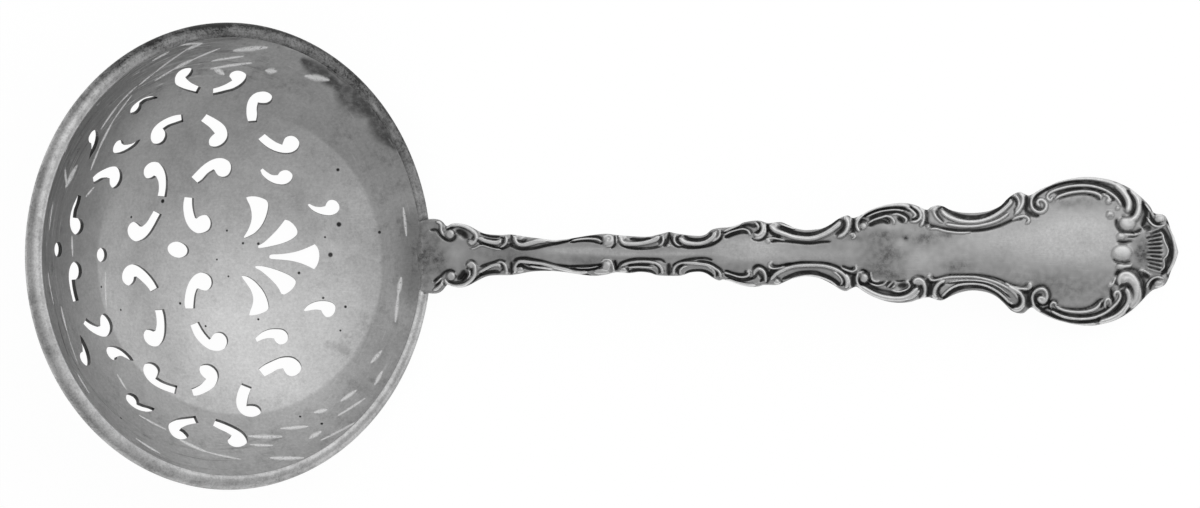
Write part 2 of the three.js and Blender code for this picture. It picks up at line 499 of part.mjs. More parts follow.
// A raised scroll along a crest, narrowing at both ends
function scroll({ crest, half }) {
  const curve = curveOf(crest);
  const steps = Math.max(2, Math.round(curve.getLength() / SCROLL_FACET_PX));
  const plan = curve.getSpacedPoints(steps).map(({ x, y }) => new THREE.Vector3(...handlePlan([x, y]), 0));
  const width = half * HANDLE_WIDTH / HANDLE_WIDTH_PX;
  return ringSolid(plan.map((point, index) => {
    const before = plan[Math.max(index - 1, 0)];
    const after = plan[Math.min(index + 1, steps)];
    const across = after.clone().sub(before).normalize().applyAxisAngle(new THREE.Vector3(0, 0, 1), Math.PI / 2);
    const narrowing = index === 0 || index === steps ? 2 / 3 : 1;
    const { face } = sideView(point.x);
    const corner = (out, up) => point.clone().addScaledVector(across, out * width * narrowing).setZ(face + up);
    return [
      corner(1, -SCROLL_ROOT_DEPTH),
      corner(1, SCROLL_RELIEF / 3),
      corner(1 / 2, SCROLL_RELIEF * narrowing),
      corner(-1 / 2, SCROLL_RELIEF * narrowing),
      corner(-1, SCROLL_RELIEF / 3),
      corner(-1, -SCROLL_ROOT_DEPTH),
    ];
  }));
}

function ball({ centre, half }) {
  const [x, y] = handlePlan(centre);
  const scale = HANDLE_WIDTH / HANDLE_WIDTH_PX;
  const sphere = new THREE.SphereGeometry(1, BALL_SIDES, BALL_RINGS).rotateX(Math.PI / 2);
  sphere.scale(half[0] * scale, half[1] * scale, SCROLL_RELIEF);
  return solidOf(sphere.translate(x, y, sideView(x).face));
}

function flutes() {
  return Array.from({ length: FLUTES }, (_, index) => {
    const side = index / (FLUTES - 1) - 1 / 2;
    const end = ({ station, spread }) => [station, FLUTE_MIDDLE_PX + side * spread];
    return { half: FLUTE_HALF_PX, crest: [end(FLUTE_STARTS_PX), end(FLUTE_ENDS_PX)] };
  });
}

// The bowl filled up, with its seam gap, which the handle's root is cut to
function bowlSeat() {
  const profile = spherePoints(OUTER_SPHERE + SEAM_GAP);
  const edge = profile[BOWL_RINGS];
  const filled = [...profile, new THREE.Vector2(edge.x, 0), new THREE.Vector2(0, 0)];
  const seat = new THREE.LatheGeometry(filled, BOWL_SIDES).rotateX(Math.PI / 2);
  return solidOf(seat.applyMatrix4(bowlFrame.matrixWorld));
}

function handle() {
  let struck = ringSolid(UPPER_EDGE_PX.map(([station]) => bodySection(station)));
  for (const raised of [...SCROLLS_PX.map(scroll), ...flutes().map(scroll), ...BALLS_PX.map(ball)]) {
    struck = struck.add(raised);
  }
  return struck.subtract(bowlSeat());
}

const spoon = new THREE.Group();
bowlFrame.add(named('pierced_bowl', piercedBowl(), 0.42));
bowlFrame.add(named('rim_wire', rimWire(), 0.45));
spoon.add(bowlFrame);
spoon.add(named('handle', handle(), 0.38));

export default spoon;
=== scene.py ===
import math

import bmesh
import bpy
import numpy as np
from mathutils import Matrix, Vector, kdtree


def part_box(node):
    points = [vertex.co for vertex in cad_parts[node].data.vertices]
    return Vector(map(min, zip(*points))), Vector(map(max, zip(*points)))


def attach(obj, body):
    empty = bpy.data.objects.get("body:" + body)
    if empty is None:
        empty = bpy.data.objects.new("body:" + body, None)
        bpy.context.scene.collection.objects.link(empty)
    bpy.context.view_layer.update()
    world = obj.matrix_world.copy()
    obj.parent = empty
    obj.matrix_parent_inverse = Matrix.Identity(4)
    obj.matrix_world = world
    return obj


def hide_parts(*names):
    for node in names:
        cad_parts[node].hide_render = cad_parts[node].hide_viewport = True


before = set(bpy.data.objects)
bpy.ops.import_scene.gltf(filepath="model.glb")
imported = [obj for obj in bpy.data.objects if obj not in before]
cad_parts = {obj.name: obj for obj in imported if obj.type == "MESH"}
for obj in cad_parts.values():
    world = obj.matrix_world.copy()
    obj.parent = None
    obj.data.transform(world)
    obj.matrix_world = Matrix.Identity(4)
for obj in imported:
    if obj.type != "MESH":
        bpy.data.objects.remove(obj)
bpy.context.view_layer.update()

# Pierced bowl: one sheet of silver raised into a shallow dish, then pierced with a saw: 34 commas, 3 ovals
# and a fan of 5 rays. It rests on a small worn flat, and is dull grey with age, with dark pits and bright
# polish streaks.
BOWL_DEPTH = 0.0135
SHEET_THICKNESS = 0.0005
BOWL_TILT = math.radians(30)
BOWL_WEAR = 0.00018
BOWL_SIDES = 192
BOWL_RINGS = 40
SAW_OVERRUN = 0.002
SHEET_ANGLE = math.radians(30)
SAME_PLACE = 1e-6
lip_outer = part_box("pierced_bowl")[1].y
outer_sphere = (lip_outer ** 2 + BOWL_DEPTH ** 2) / (2 * BOWL_DEPTH)
inner_sphere = outer_sphere - SHEET_THICKNESS
lip_drop = outer_sphere - BOWL_DEPTH
lip_inner = math.sqrt(inner_sphere ** 2 - lip_drop ** 2)
sphere_centre = Vector((0, 0, outer_sphere - BOWL_WEAR))
bowl_place = Matrix.Translation(sphere_centre) @ Matrix.Rotation(BOWL_TILT, 4, "Y")

# The photograph's pixels, looking straight down. The spoon's axis passes through the middle of the frame.
# The eye is so far away that its lines of sight are as good as parallel.
FRAME_PX = (1200, 508)
PX_PER_M = 7790
AXIS_RUN_PX = (940, 5.6)
REST_ALONG_PX = -276
RIM_RADIUS_PX = 233.7
SEEN_LIP_SHARE = 0.937
SEEN_DEPTH_SHARE = 0.433
SEEN_EYE_SHARE = 10000
axis_roll = math.atan2(AXIS_RUN_PX[1], AXIS_RUN_PX[0])

# Commas, each as two runs of pixels: from the notch round the head to the tail's outer corner, and from the
# tail's inner corner back towards the notch
COMMAS_PX = [
    # Outer ring, from the left over the top to the handle
    [[(90.3, 143), (88.2, 141.5), (87.8, 138), (89, 134.5), (91.5, 131), (94.5, 129.6), (96.8, 131),
      (97.8, 135), (97.4, 140), (96, 145.5), (93.8, 150), (91, 154.5), (88, 159.5)],
     [(89.2, 153), (90.6, 147.5)]],
    [[(141, 104.5), (140.3, 108), (138.5, 111), (135.5, 113.5), (132, 114.3), (129.8, 113), (129.7, 110),
      (131.5, 106.5), (135, 103), (139.5, 99.8), (144.5, 97.2), (150, 95.9), (156.5, 96.5)],
     [(156.8, 97.9), (151, 99.3), (145.5, 101)]],
    [[(186.4, 79.2), (189.8, 76), (192, 72.5), (192.4, 69.5), (190, 67.8), (185.5, 67.8), (180.5, 69.6),
      (176.5, 73), (174.4, 77.5), (174.6, 82.5), (178, 86.8), (184, 89.8), (190.5, 91.8), (196.8, 93.3)],
     [(200.3, 87), (195, 84.8), (190, 82.2)]],
    [[(231.6, 80.2), (229.5, 77.8), (229, 75), (231, 72.2), (235, 70.5), (240, 70.7), (244.5, 73),
      (246.5, 77), (245, 81.5), (240.5, 86), (233.5, 90), (226, 92), (219, 93.8), (212.5, 95.2)],
     [(212.6, 88.3), (218, 86.8), (225, 84)]],
    [[(258.2, 104), (262, 104.6), (267, 104.3), (270.8, 102), (272.2, 98.3), (270.3, 94.2), (265.5, 91.5),
      (260, 91.4), (254.5, 93), (249.8, 97), (247, 102.5), (246, 109), (246.3, 116), (248.2, 122.6)],
     [(256.4, 122), (257.3, 116), (257, 110)]],
    [[(281.8, 144.6), (283, 141.3), (285, 137.5), (289, 135.7), (293.5, 136.2), (297.3, 139.2), (299.2, 144),
      (297.5, 149.3), (293, 152.7), (287, 154), (280, 153.3), (272.5, 150.8), (265, 146.2), (257.5, 139.2)],
     [(264.3, 133.8), (269.5, 138), (275.5, 142)]],
    [[(277.3, 175), (279.5, 172), (283, 170.2), (287.5, 170.4), (291.3, 173.4), (292.5, 177.5), (290, 182),
      (285, 184.8), (279.5, 185), (273, 183.3), (266.5, 179.3), (261.8, 174.3), (260, 170)],
     [(262.2, 168.3), (267, 172.2), (272, 174.9)]],
    [[(325, 206), (326.3, 203), (328.5, 200.5), (332.5, 199.8), (336.5, 201.7), (339, 206), (338.3, 210.5),
      (335, 214), (330, 215.6), (324, 215.2), (317.5, 213.3), (311.5, 209.8), (307, 204.8)],
     [(309.2, 203.8), (314, 206.2), (320, 207)]],
    # Outer ring, from the handle round the bottom to the left
    [[(321, 310.3), (322.5, 313.5), (325.3, 316.7), (329, 317), (332.5, 314.8), (334.8, 310.5),
      (334.6, 305.5), (331.5, 302.3), (326, 300.8), (320, 300.6), (313.5, 302), (307.5, 305.2),
      (303.2, 309.8)],
     [(304.8, 311.3), (310, 310.3), (316, 309.6)]],
    [[(273.6, 338.5), (275.2, 341.7), (278.5, 344.2), (282.5, 344.3), (286, 342), (288, 337.5), (287, 332.8),
      (283, 329.3), (277, 328.4), (270, 328.8), (263, 331.3), (258.3, 335), (255, 338.6)],
     [(256.5, 342), (262, 339.5), (268, 338.2)]],
    [[(282.8, 368.5), (284.2, 371.5), (287, 375), (291.5, 376.3), (296.5, 374.8), (300, 370.8), (301, 365.8),
      (298.5, 361), (293.5, 357.3), (287.5, 356.2), (280, 357.2), (272, 360.5), (264.5, 364.2), (258, 369)],
     [(264, 376.6), (271, 373), (277, 369.6)]],
    [[(246.8, 404.5), (251, 404.3), (256, 405), (259.8, 407.8), (261, 411), (259, 414.5), (254, 416.8),
      (248.5, 417), (243, 415.2), (238.5, 411), (236, 405), (236, 398), (238, 390.5), (241.5, 383.3)],
     [(251.3, 387.3), (248.8, 394), (247.5, 400)]],
    [[(231, 435.7), (228.3, 438.5), (227.2, 441.8), (229.3, 445), (234, 447.2), (240, 447), (245.3, 444.3),
      (247.3, 440), (245, 434.5), (240, 429.8), (232, 425.5), (223.5, 421.8), (215.5, 419)],
     [(212.5, 426), (219, 429.5), (225.5, 432.5)]],
    [[(180.3, 428.5), (184, 430.8), (187, 434), (188, 436), (186, 438.5), (181, 439.8), (175.5, 438.5),
      (171, 435), (168.3, 430), (168, 425.5), (171, 421.5), (177, 418.6), (184.5, 417.4), (194.8, 416.2)],
     [(198, 423.2), (191, 424.3), (185, 426)]],
    [[(138.3, 403), (137.6, 399), (135, 395.6), (131, 393.6), (127.5, 393.5), (125.4, 396.5), (126, 400.5),
      (129.5, 404.8), (134.5, 408.5), (140.5, 411), (147, 412), (152.8, 410.8)],
     [(154, 408.8), (149.5, 406.8), (144, 405.3)]],
    [[(81.8, 352), (79.8, 353.2), (79, 356), (80, 360), (82.5, 363.6), (86, 366), (89, 365), (89.6, 360.5),
      (88.8, 355), (87, 349), (84.5, 343.3), (81.5, 338), (79, 335)], [(80, 341), (81.6, 347)]],
    # Second ring
    [[(123.5, 144.8), (122.2, 141), (119.8, 139.9), (116.5, 141), (113.8, 144.2), (112.4, 148),
      (112.5, 151.5), (115, 153.6), (119.5, 153.8), (125, 152), (130.5, 149), (135.5, 145.3), (138.8, 141),
      (139.8, 139.3)],
     [(137.3, 139.6), (133, 142.6), (128.5, 144.2)]],
    [[(164, 129.8), (166.3, 133.5), (166.2, 138), (163.5, 142.5), (159, 144.8), (154.5, 144.2), (151, 141),
      (150, 136), (151.5, 130.5), (155.5, 125), (162, 120.2), (169.5, 116.6), (176, 114.8), (182, 114.2)],
     [(182.8, 121.5), (176.5, 123.7), (169.5, 126.2)]],
    [[(214.4, 133), (210.8, 136.3), (208.5, 140), (209, 144.5), (212.3, 147.3), (217.5, 147.5), (223, 144.8),
      (227, 140), (228, 134.5), (226, 128.5), (221, 122.8), (214, 118.2), (206, 114)],
     [(200.2, 121), (205.5, 124.8), (210.5, 128.6)]],
    [[(108.9, 178.2), (109, 183), (110.5, 186.5), (113, 188.4), (116, 187.8), (119, 184.8), (121.2, 180),
      (121.6, 174.5), (119.5, 169), (115, 166.5), (109.5, 166.8), (103, 169.4), (97, 172.8), (92, 177.2)],
     [(93.2, 184), (98, 181.8), (103.3, 178.8)]],
    [[(75.2, 218), (78, 217.9), (80.8, 219.5), (82.6, 223.5), (82.4, 228.5), (80, 233), (76.3, 235),
      (72.5, 233), (69.8, 228), (69, 221), (70, 213), (72.5, 205), (75.5, 198.5), (77.3, 194.8)],
     [(80.3, 196), (78.8, 203), (76.2, 210.5)]],
    [[(74, 279.5), (77.3, 279.4), (79.8, 277), (81, 272), (80.3, 266.5), (77.8, 262.8), (74.5, 261.3),
      (71, 263.5), (68.8, 268.5), (67.9, 275), (68.4, 283), (69.8, 291), (72.3, 302)],
     [(78, 300.5), (76.3, 294), (74.8, 286.5)]],
    [[(99.6, 326.2), (99.4, 321.5), (99.8, 317), (102, 314), (105, 314.1), (108.5, 317.5), (111, 322),
      (112, 327), (110.8, 332.5), (107.5, 336), (102, 336.7), (95.5, 334.5), (88.5, 330), (82.6, 324)],
     [(85.5, 318.2), (90, 321.8), (95, 324.6)]],
    [[(116.3, 356.8), (115.8, 359.5), (113, 360.3), (109.8, 358.5), (107, 354.8), (105.7, 350.8),
      (107, 347.3), (111, 346), (116, 346.5), (121.5, 349), (126.5, 352.8), (130.5, 357), (133, 361)],
     [(130, 360.8), (125, 358), (120, 356)]],
    [[(156.8, 377.5), (158.7, 373.5), (159.3, 369.5), (157, 365.5), (152.5, 362.8), (147.5, 362.6),
      (144, 364.8), (142.6, 369), (143.5, 374), (147, 379.8), (152.5, 384.7), (159, 388.5), (166.5, 391.5),
      (175, 394.3)],
     [(176.8, 386), (170, 384), (163, 381.3)]],
    [[(205.7, 379.3), (202.5, 376.6), (199.8, 373), (199, 368.8), (200.8, 365.5), (205, 364), (210, 364.5),
      (214.8, 367.5), (217.8, 372), (218.3, 377.5), (216, 383.5), (211, 389), (204, 393), (197.5, 395.6),
      (193, 396)], [(190.8, 388.8), (196.5, 386.5), (202, 383.2)]],
    # Inner ring round the middle oval
    [[(155.6, 176.3), (152.5, 178.4), (149, 179), (145.3, 177.5), (143.2, 173.8), (143.5, 169),
      (146.3, 164.8), (150.5, 162.2), (155, 161.8), (160, 163.8), (164.3, 169), (166.8, 176), (167.3, 184),
      (166.9, 190.5), (165.8, 197)],
     [(157, 196.3), (158.2, 189.5), (157.9, 182)]],
    [[(214.4, 170.2), (216, 173.3), (219.5, 176.5), (224, 177.6), (228.5, 175.8), (231.3, 171),
      (231.3, 165.5), (228, 161), (222.5, 158.2), (216, 158.2), (209, 160.8), (202.5, 165.3), (197, 170.5),
      (191, 176.8)],
     [(198, 183.6), (203, 180), (208.5, 174)]],
    [[(141.3, 226.7), (138.5, 224), (135, 221.9), (131.5, 222.2), (128.5, 225), (126.8, 230), (128.3, 236),
      (132.5, 240.3), (138, 241.4), (144, 239.3), (149.5, 234.5), (154.5, 227), (158.5, 219.5),
      (161.2, 214.5)],
     [(153.3, 210.3), (150, 216), (146, 222.5)]],
    [[(135.8, 276.5), (134.8, 281), (131.8, 284.5), (128, 285.6), (124, 283.5), (121.5, 279), (122, 272.5),
      (125.5, 267), (131, 264.4), (137, 265), (143.5, 268.8), (150, 275), (155, 281.5), (158.3, 287.5)],
     [(150.5, 292), (146, 286), (141, 281)]],
    [[(196.2, 218.5), (199, 216.3), (203, 215), (207.3, 215.6), (210.5, 219.3), (211.5, 224), (210, 229),
      (205.5, 232.3), (199.5, 233.4), (193.8, 231.8), (188.5, 227), (184.8, 220), (183, 211.5), (182.8, 204),
      (184, 197)], [(193.2, 198), (193.3, 206), (194.5, 213)]],
    [[(197.8, 288.4), (201.5, 290), (206, 290.5), (210, 288.5), (212.3, 284), (211.8, 278.8), (208.8, 274.8),
      (203.8, 272.6), (198.5, 273), (193.5, 275.8), (189, 281.5), (186, 289), (184.4, 297), (184, 304),
      (185, 308.5)], [(194.3, 308.5), (194.8, 301), (195.8, 294)]],
    [[(154.9, 330.8), (151, 329.3), (147, 329.3), (143.8, 332), (143, 336.5), (145, 341.5), (149.5, 345.5),
      (155, 346.6), (160, 344.5), (163.8, 339.5), (165.6, 332), (165.8, 323), (165, 315), (163.5, 309.3)],
     [(154.2, 309.8), (155.7, 317), (156, 324.5)]],
    [[(210.3, 338.8), (212.5, 335.3), (216, 332.6), (220, 332), (224, 333.6), (227, 337.5), (227.5, 342.5),
      (225, 347.5), (220, 350.6), (213.5, 350.8), (207, 348.5), (200, 343), (194, 335.5), (189.8, 325.2)],
     [(198.5, 321.8), (202.5, 329), (206.5, 334.5)]],
]

# The five rays of the fan, each as smooth runs of pixels between its corners
RAYS_PX = [
    [[(245.8, 197.3), (250, 196.3), (256, 196.5), (262, 198.2), (266.5, 200.8), (268.4, 204.8),
      (267.6, 211.5), (265.3, 219), (261.3, 226.5), (255.5, 232.8), (249.5, 236.2), (244, 238.6)],
     [(243.5, 236.8), (247.5, 230), (250.6, 222), (251.3, 214), (249.6, 206), (247, 200.5)]],
    [[(284.6, 219.6), (289, 221), (293.5, 224.8), (296.8, 229.5), (297.2, 233.8), (294.5, 237.2),
      (288.5, 241), (281, 243.8), (272, 246), (263, 247.8), (258, 248)],
     [(257.8, 245.6), (263, 242.8), (269, 237.5), (275.5, 231), (280.5, 225)]],
    [[(314.5, 244.2), (317.3, 247.8), (318.8, 252.5), (319, 257), (318.2, 261.5), (316.5, 265.5),
      (313.8, 269.2)],
     [(308, 266.2), (300, 263), (291, 260.8), (281, 259.6), (270.5, 258.7), (269, 256.5), (271, 254.6),
      (281, 254.1), (291, 252.7), (300, 250.4), (308, 247.2)]],
    [[(255, 266), (262, 266), (271, 268), (279.5, 270.8), (287.5, 274.2), (293, 277.6), (295.6, 280.6),
      (295.3, 284), (292.5, 288.3), (288, 292.3), (283.5, 294.6)],
     [(281, 293.8), (277.5, 287.3), (272.5, 281.3), (266, 275.3), (259.5, 270.2), (255.3, 268)]],
    [[(240.8, 275.3), (247, 276.3), (253.5, 280), (259, 285.3), (263.8, 291.5), (267, 298.5), (268.7, 305),
      (268.3, 308.5), (264.5, 311.8), (258, 314.3), (252, 315.4), (248.7, 315.3)],
     [(249.8, 311), (252.2, 304.5), (252.8, 298), (250.8, 291), (247, 284.8), (242.8, 279)]],
]

# Ovals: centre, half axes and turn in degrees
OVALS_PX = [
    ((57.3, 249.5), (3.8, 7.9), 0), ((101.2, 254.9), (5.1, 7.3), 0), ((177.8, 249.7), (10.9, 7.9), 12),
]
OVAL_POINTS = 40
CURVE_STEPS = 4


def along_across(pixels):
    """Pixels to distances along the spoon's axis and to its upper side, from the middle of the frame."""
    right = pixels[:, 0] - FRAME_PX[0] / 2
    down = pixels[:, 1] - FRAME_PX[1] / 2
    along = right * math.cos(axis_roll) - down * math.sin(axis_roll)
    across = -right * math.sin(axis_roll) - down * math.cos(axis_roll)
    return along, across


def inside_bowl(pixels):
    """Where the lines of sight through pixels meet the inside of the bowl, in the bowl's own frame."""
    along, across = along_across(np.array(pixels, float))
    sphere = (SEEN_LIP_SHARE ** 2 + SEEN_DEPTH_SHARE ** 2) / (2 * SEEN_DEPTH_SHARE)
    foot = np.stack([(along - REST_ALONG_PX) / RIM_RADIUS_PX, across / RIM_RADIUS_PX, 0 * along], 1)
    eye = np.array([-REST_ALONG_PX / RIM_RADIUS_PX, 0, SEEN_EYE_SHARE])
    sight = (foot - eye) / np.linalg.norm(foot - eye, axis=1)[:, None]
    from_centre = eye - np.array([0, 0, sphere])
    half = sight @ from_centre
    reach = np.sqrt(half ** 2 - from_centre @ from_centre + sphere ** 2) - half
    hit = from_centre + sight * reach[:, None]
    turned = hit @ np.array(Matrix.Rotation(-BOWL_TILT, 3, "Y")).T
    x, y = (turned[:, :2] * lip_inner / SEEN_LIP_SHARE).T
    return np.stack([x, y, -np.sqrt(inner_sphere ** 2 - x ** 2 - y ** 2)], 1)


def smooth_curve(points, steps=CURVE_STEPS):
    """A smooth curve through points, with that many steps between each two."""
    p = np.array(points, float)
    p = np.vstack([2 * p[0] - p[1], p, 2 * p[-1] - p[-2]])
    t = np.arange(steps)[:, None] / steps
    made = []
    for a, b, c, d in zip(p, p[1:], p[2:], p[3:]):
        made.append(((2 * b) + (c - a) * t + (2 * a - 5 * b + 4 * c - d) * t ** 2
                     + (3 * b - a - 3 * c + d) * t ** 3) / 2)
    return np.vstack(made + [p[-2:-1]])


def closed_outline(runs):
    """The outline of a hole: its smooth runs one after another, the last one back to the first point."""
    first = [smooth_curve(run) for run in runs[:-1]]
    return np.vstack(first + [smooth_curve(runs[-1] + [runs[0][0]])[:-1]])


def oval_outline(centre, half, turn):
    """The outline of an oval hole."""
    angle = np.arange(OVAL_POINTS) * math.tau / OVAL_POINTS
    flat = np.stack([half[0] * np.cos(angle), half[1] * np.sin(angle)], 1)
    c, s = math.cos(math.radians(turn)), math.sin(math.radians(turn))
    return flat @ np.array([[c, s], [-s, c]]) + centre


def sphere_profile(radius):
    """Profile of a sphere's bottom, from its pole to the plane of the rim."""
    lip_angle = math.acos(lip_drop / radius)
    angles = np.linspace(0, lip_angle, BOWL_RINGS + 1)
    return [Vector((radius * math.sin(a), 0, -radius * math.cos(a))) for a in angles]


def edge_line(bm, points):
    """A line of edges through points, as new vertices."""
    verts = [bm.verts.new(point) for point in points]
    for start, end in zip(verts, verts[1:]):
        bm.edges.new((start, end))
    return verts


def new_piece(name, bm):
    """An object at the origin that holds the mesh."""
    mesh = bpy.data.meshes.new(name)
    bm.to_mesh(mesh)
    bm.free()
    piece = bpy.data.objects.new(name, mesh)
    bpy.context.scene.collection.objects.link(piece)
    return piece


def saw_cuts():
    """All the holes as one cutter, each cut square to the sheet."""
    bm = bmesh.new()
    outlines = [closed_outline(runs) for runs in COMMAS_PX + RAYS_PX]
    outlines += [oval_outline(*oval) for oval in OVALS_PX]
    for outline in outlines:
        directions = [Vector(point).normalized() for point in inside_bowl(outline)]
        ring = [bm.verts.new(direction * (outer_sphere + SAW_OVERRUN)) for direction in directions]
        face = bm.faces.new(ring)
        made = bmesh.ops.extrude_face_region(bm, geom=[face], use_keep_orig=True)
        inner = [item for item in made["geom"] if isinstance(item, bmesh.types.BMVert)]
        shrink = (inner_sphere - SAW_OVERRUN) / (outer_sphere + SAW_OVERRUN)
        bmesh.ops.scale(bm, vec=(shrink, shrink, shrink), verts=inner)
    bmesh.ops.recalc_face_normals(bm, faces=bm.faces)
    bmesh.ops.triangulate(bm, faces=[f for f in bm.faces if len(f.verts) > 4], ngon_method="EAR_CLIP")
    return new_piece("saw_cuts", bm)


def cut_with(piece, cutter):
    """Cuts the cutter out of the piece for good."""
    cut = piece.modifiers.new("cut", "BOOLEAN")
    cut.operation = "DIFFERENCE"
    cut.solver = "EXACT"
    cut.object = cutter
    bpy.context.view_layer.update()
    done = bpy.data.meshes.new_from_object(piece.evaluated_get(bpy.context.evaluated_depsgraph_get()))
    piece.modifiers.clear()
    piece.data = done
    bpy.data.objects.remove(cutter)


def smooth_sheet(piece):
    """Shades the two round faces of the sheet as true spheres, and the sawn walls flat."""
    mesh = piece.data
    for polygon in mesh.polygons:
        polygon.use_smooth = True
    mesh.update()
    sawn = mesh.attributes.new("sawn", "FLOAT", "FACE").data
    normals = []
    for polygon in mesh.polygons:
        radial = (polygon.center - sphere_centre).normalized()
        on_sheet = abs(polygon.normal.dot(radial)) > math.cos(SHEET_ANGLE)
        side = 1 if polygon.normal.dot(radial) > 0 else -1
        sawn[polygon.index].value = not on_sheet
        for loop in polygon.loop_indices:
            place = mesh.vertices[mesh.loops[loop].vertex_index].co
            normals.append((place - sphere_centre).normalized() * side if on_sheet else polygon.normal)
    mesh.normals_split_custom_set(normals)


bm = bmesh.new()
edge_line(bm, sphere_profile(outer_sphere) + sphere_profile(inner_sphere)[::-1])
bmesh.ops.spin(bm, geom=bm.verts[:] + bm.edges[:], axis=(0, 0, 1), cent=(0, 0, 0), angle=math.tau,
               steps=BOWL_SIDES, use_merge=True)
bmesh.ops.remove_doubles(bm, verts=bm.verts, dist=SAME_PLACE)
bmesh.ops.recalc_face_normals(bm, faces=bm.faces)
bowl = new_piece("bowl", bm)
cut_with(bowl, saw_cuts())
bowl.data.transform(bowl_place)
for vertex in bowl.data.vertices:
    vertex.co.z = max(vertex.co.z, 0)
smooth_sheet(bowl)
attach(bowl, "root")
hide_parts("pierced_bowl")

# Finish of the bowl: dull grey silver with soft clouds, fine scratches, black pits and bright streaks left
# by a polishing cloth, and more smears of tarnish up the wall. Painted reflection light makes the floor and
# the low wall lighter, and painted shade makes the far wall darker.
# Pits, as pixels: centre and half width
PITS_PX = [
    (338.6, 224.3, 2.6), (330.1, 254.8, 2.5), (337.6, 169.6, 1.8), (379.2, 232.2, 1.7), (298.6, 273, 1.5),
    (257.9, 243.7, 1.5), (322.9, 298, 1.3), (324.7, 237.1, 1.1), (226.4, 230.5, 1.2), (242.5, 243.2, 1.3),
    (345.2, 306.9, 1.5), (216.4, 259.5, 1), (227.9, 276.4, 1.1), (179.5, 303.5, 1.4), (205.1, 326.3, 1.2),
    (162, 201, 2.2), (130.5, 217, 1.3), (100.5, 287, 1.3), (120, 310, 1.2), (120, 418.5, 1.3),
    (340.1, 330.7, 1.1), (257.9, 319.4, 1.2), (260.1, 47.6, 1.5), (321.4, 424.1, 1.5), (299.7, 416.9, 1.3),
]

# Bright streaks, as pixels: start, end and half width
STREAKS_PX = [
    ((178, 44.8), (201.6, 42.7), 1.4), ((153, 52.3), (178, 44.8), 1.2), ((118, 74.3), (153, 52.3), 0.9),
    ((185.4, 49.3), (201, 43), 2.2), ((153, 73), (185.4, 49.5), 1.3), ((138.5, 84.5), (153, 73), 1.2),
    ((151.7, 60.3), (167.9, 51.5), 1.7), ((96, 105), (138.5, 71.3), 0.9),
    ((191.3, 59.6), (219.2, 47.9), 1.2), ((173.7, 68.4), (191.3, 59.6), 2.4),
    ((154.6, 80.1), (173.7, 68.4), 1.3), ((118, 103.6), (135.6, 86), 1.2),
    ((100.4, 128.5), (118, 103.6), 1.5), ((112, 121), (131, 95), 1.1), ((98, 149), (112, 121), 1.8),
    ((90, 169.6), (98, 149), 1.6), ((58, 161), (81.3, 115.3), 1), ((64, 152), (78.4, 121.2), 1.4),
    ((65.2, 185.7), (75.5, 166.6), 4.2), ((64, 168), (66, 186), 1.8), ((48.3, 229.7), (52, 201.8), 1.8),
    ((85, 196.7), (93, 187.2), 1.2), ((71, 236), (71.8, 256), 1.5), ((46.9, 272), (52.7, 304.3), 1.5),
    ((60.1, 307.2), (66, 331), 1.8), ((66, 331), (77, 364), 0.9), ((76.9, 374.7), (87.9, 393), 1.6),
    ((104.8, 272), (105.5, 307.2), 0.9), ((116.5, 374.7), (125.3, 389.3), 1.2),
    ((93.8, 408.4), (101.9, 417.9), 1.9), ((138.5, 415.7), (164.9, 429.6), 1.1),
    ((179.6, 440.6), (205, 452), 1.9), ((205, 452), (240, 459.7), 1), ((135.6, 439.2), (159, 453.8), 1.6),
    ((233.7, 50.1), (266, 47), 2.8), ((211, 60.6), (242.5, 55.9), 1.3), ((210.3, 68.4), (250.6, 62.5), 1.5),
    ((214, 67.5), (223, 74), 2.2), ((266, 70), (275, 71), 3), ((305.6, 75.7), (327.6, 79.4), 3.2),
    ((398, 294), (400.9, 277.9), 1.9), ((395.1, 321.9), (398, 294), 1.4),
    ((403.1, 207.7), (406.1, 235.6), 1.2), ((370.9, 362.9), (381.1, 351.2), 1.6),
    ((374.5, 384.9), (381.9, 371.7), 1.5), ((340.8, 401.1), (355.5, 390.8), 1.6),
    ((337.9, 415.7), (364.3, 398.9), 1.1), ((314.4, 412.8), (326.1, 410), 1.8),
    ((280.7, 428.9), (307.1, 426.7), 1.6), ((320.3, 440.7), (358.4, 420.9), 1.2),
    ((309.3, 438.5), (320.3, 431.9), 2), ((248.4, 436.6), (281, 437), 1.9),
    ((249.9, 445.1), (271.9, 445.8), 1.3), ((270.4, 458.3), (302.7, 458.3), 2),
]

# Dark bands, as pixels: start, end and half width. The three broad ones below the lip on the upper right are
# painted shade; the narrow ones are dark tarnish marks.
SHADE_AND_TARNISH_BANDS_PX = [
    ((303, 60), (338, 86), 8), ((338, 86), (372, 114), 13), ((372, 114), (395, 146), 11),
    ((327, 68), (369, 104), 2), ((409.5, 174), (418, 204), 2.2), ((57, 322), (67, 355), 1.5),
    ((53, 172), (41, 226), 3), ((37, 262), (43, 305), 2),
]
MM_PER_M = 1000
PX_PER_MM = PX_PER_M / MM_PER_M
PIT_EDGE_SHARES = (1.25, 0.6)
STROKE_SPREAD = 1.5


def connect(tree, value, socket):
    """Links a socket to an input, or sets the input to a value."""
    if isinstance(value, bpy.types.NodeSocket):
        tree.links.new(value, socket)
    elif value is not None:
        socket.default_value = value


def add_node(tree, kind, *inputs, **settings):
    """A node with its settings and its first inputs."""
    made = tree.nodes.new(kind)
    for name, value in settings.items():
        setattr(made, name, value)
    for socket, value in zip(made.inputs, inputs):
        connect(tree, value, socket)
    return made


def calc(tree, operation, *inputs, clamp=False):
    """The result of a sum."""
    return add_node(tree, "ShaderNodeMath", *inputs, operation=operation, use_clamp=clamp).outputs[0]


def measure(tree, operation, *vectors):
    """A length, a distance or a reach along a direction."""
    return add_node(tree, "ShaderNodeVectorMath", *vectors, operation=operation).outputs["Value"]


def turned(tree, vector, angles, stretch):
    """A vector turned, then stretched."""
    return add_node(tree, "ShaderNodeMapping", vector, None, angles, stretch).outputs[0]


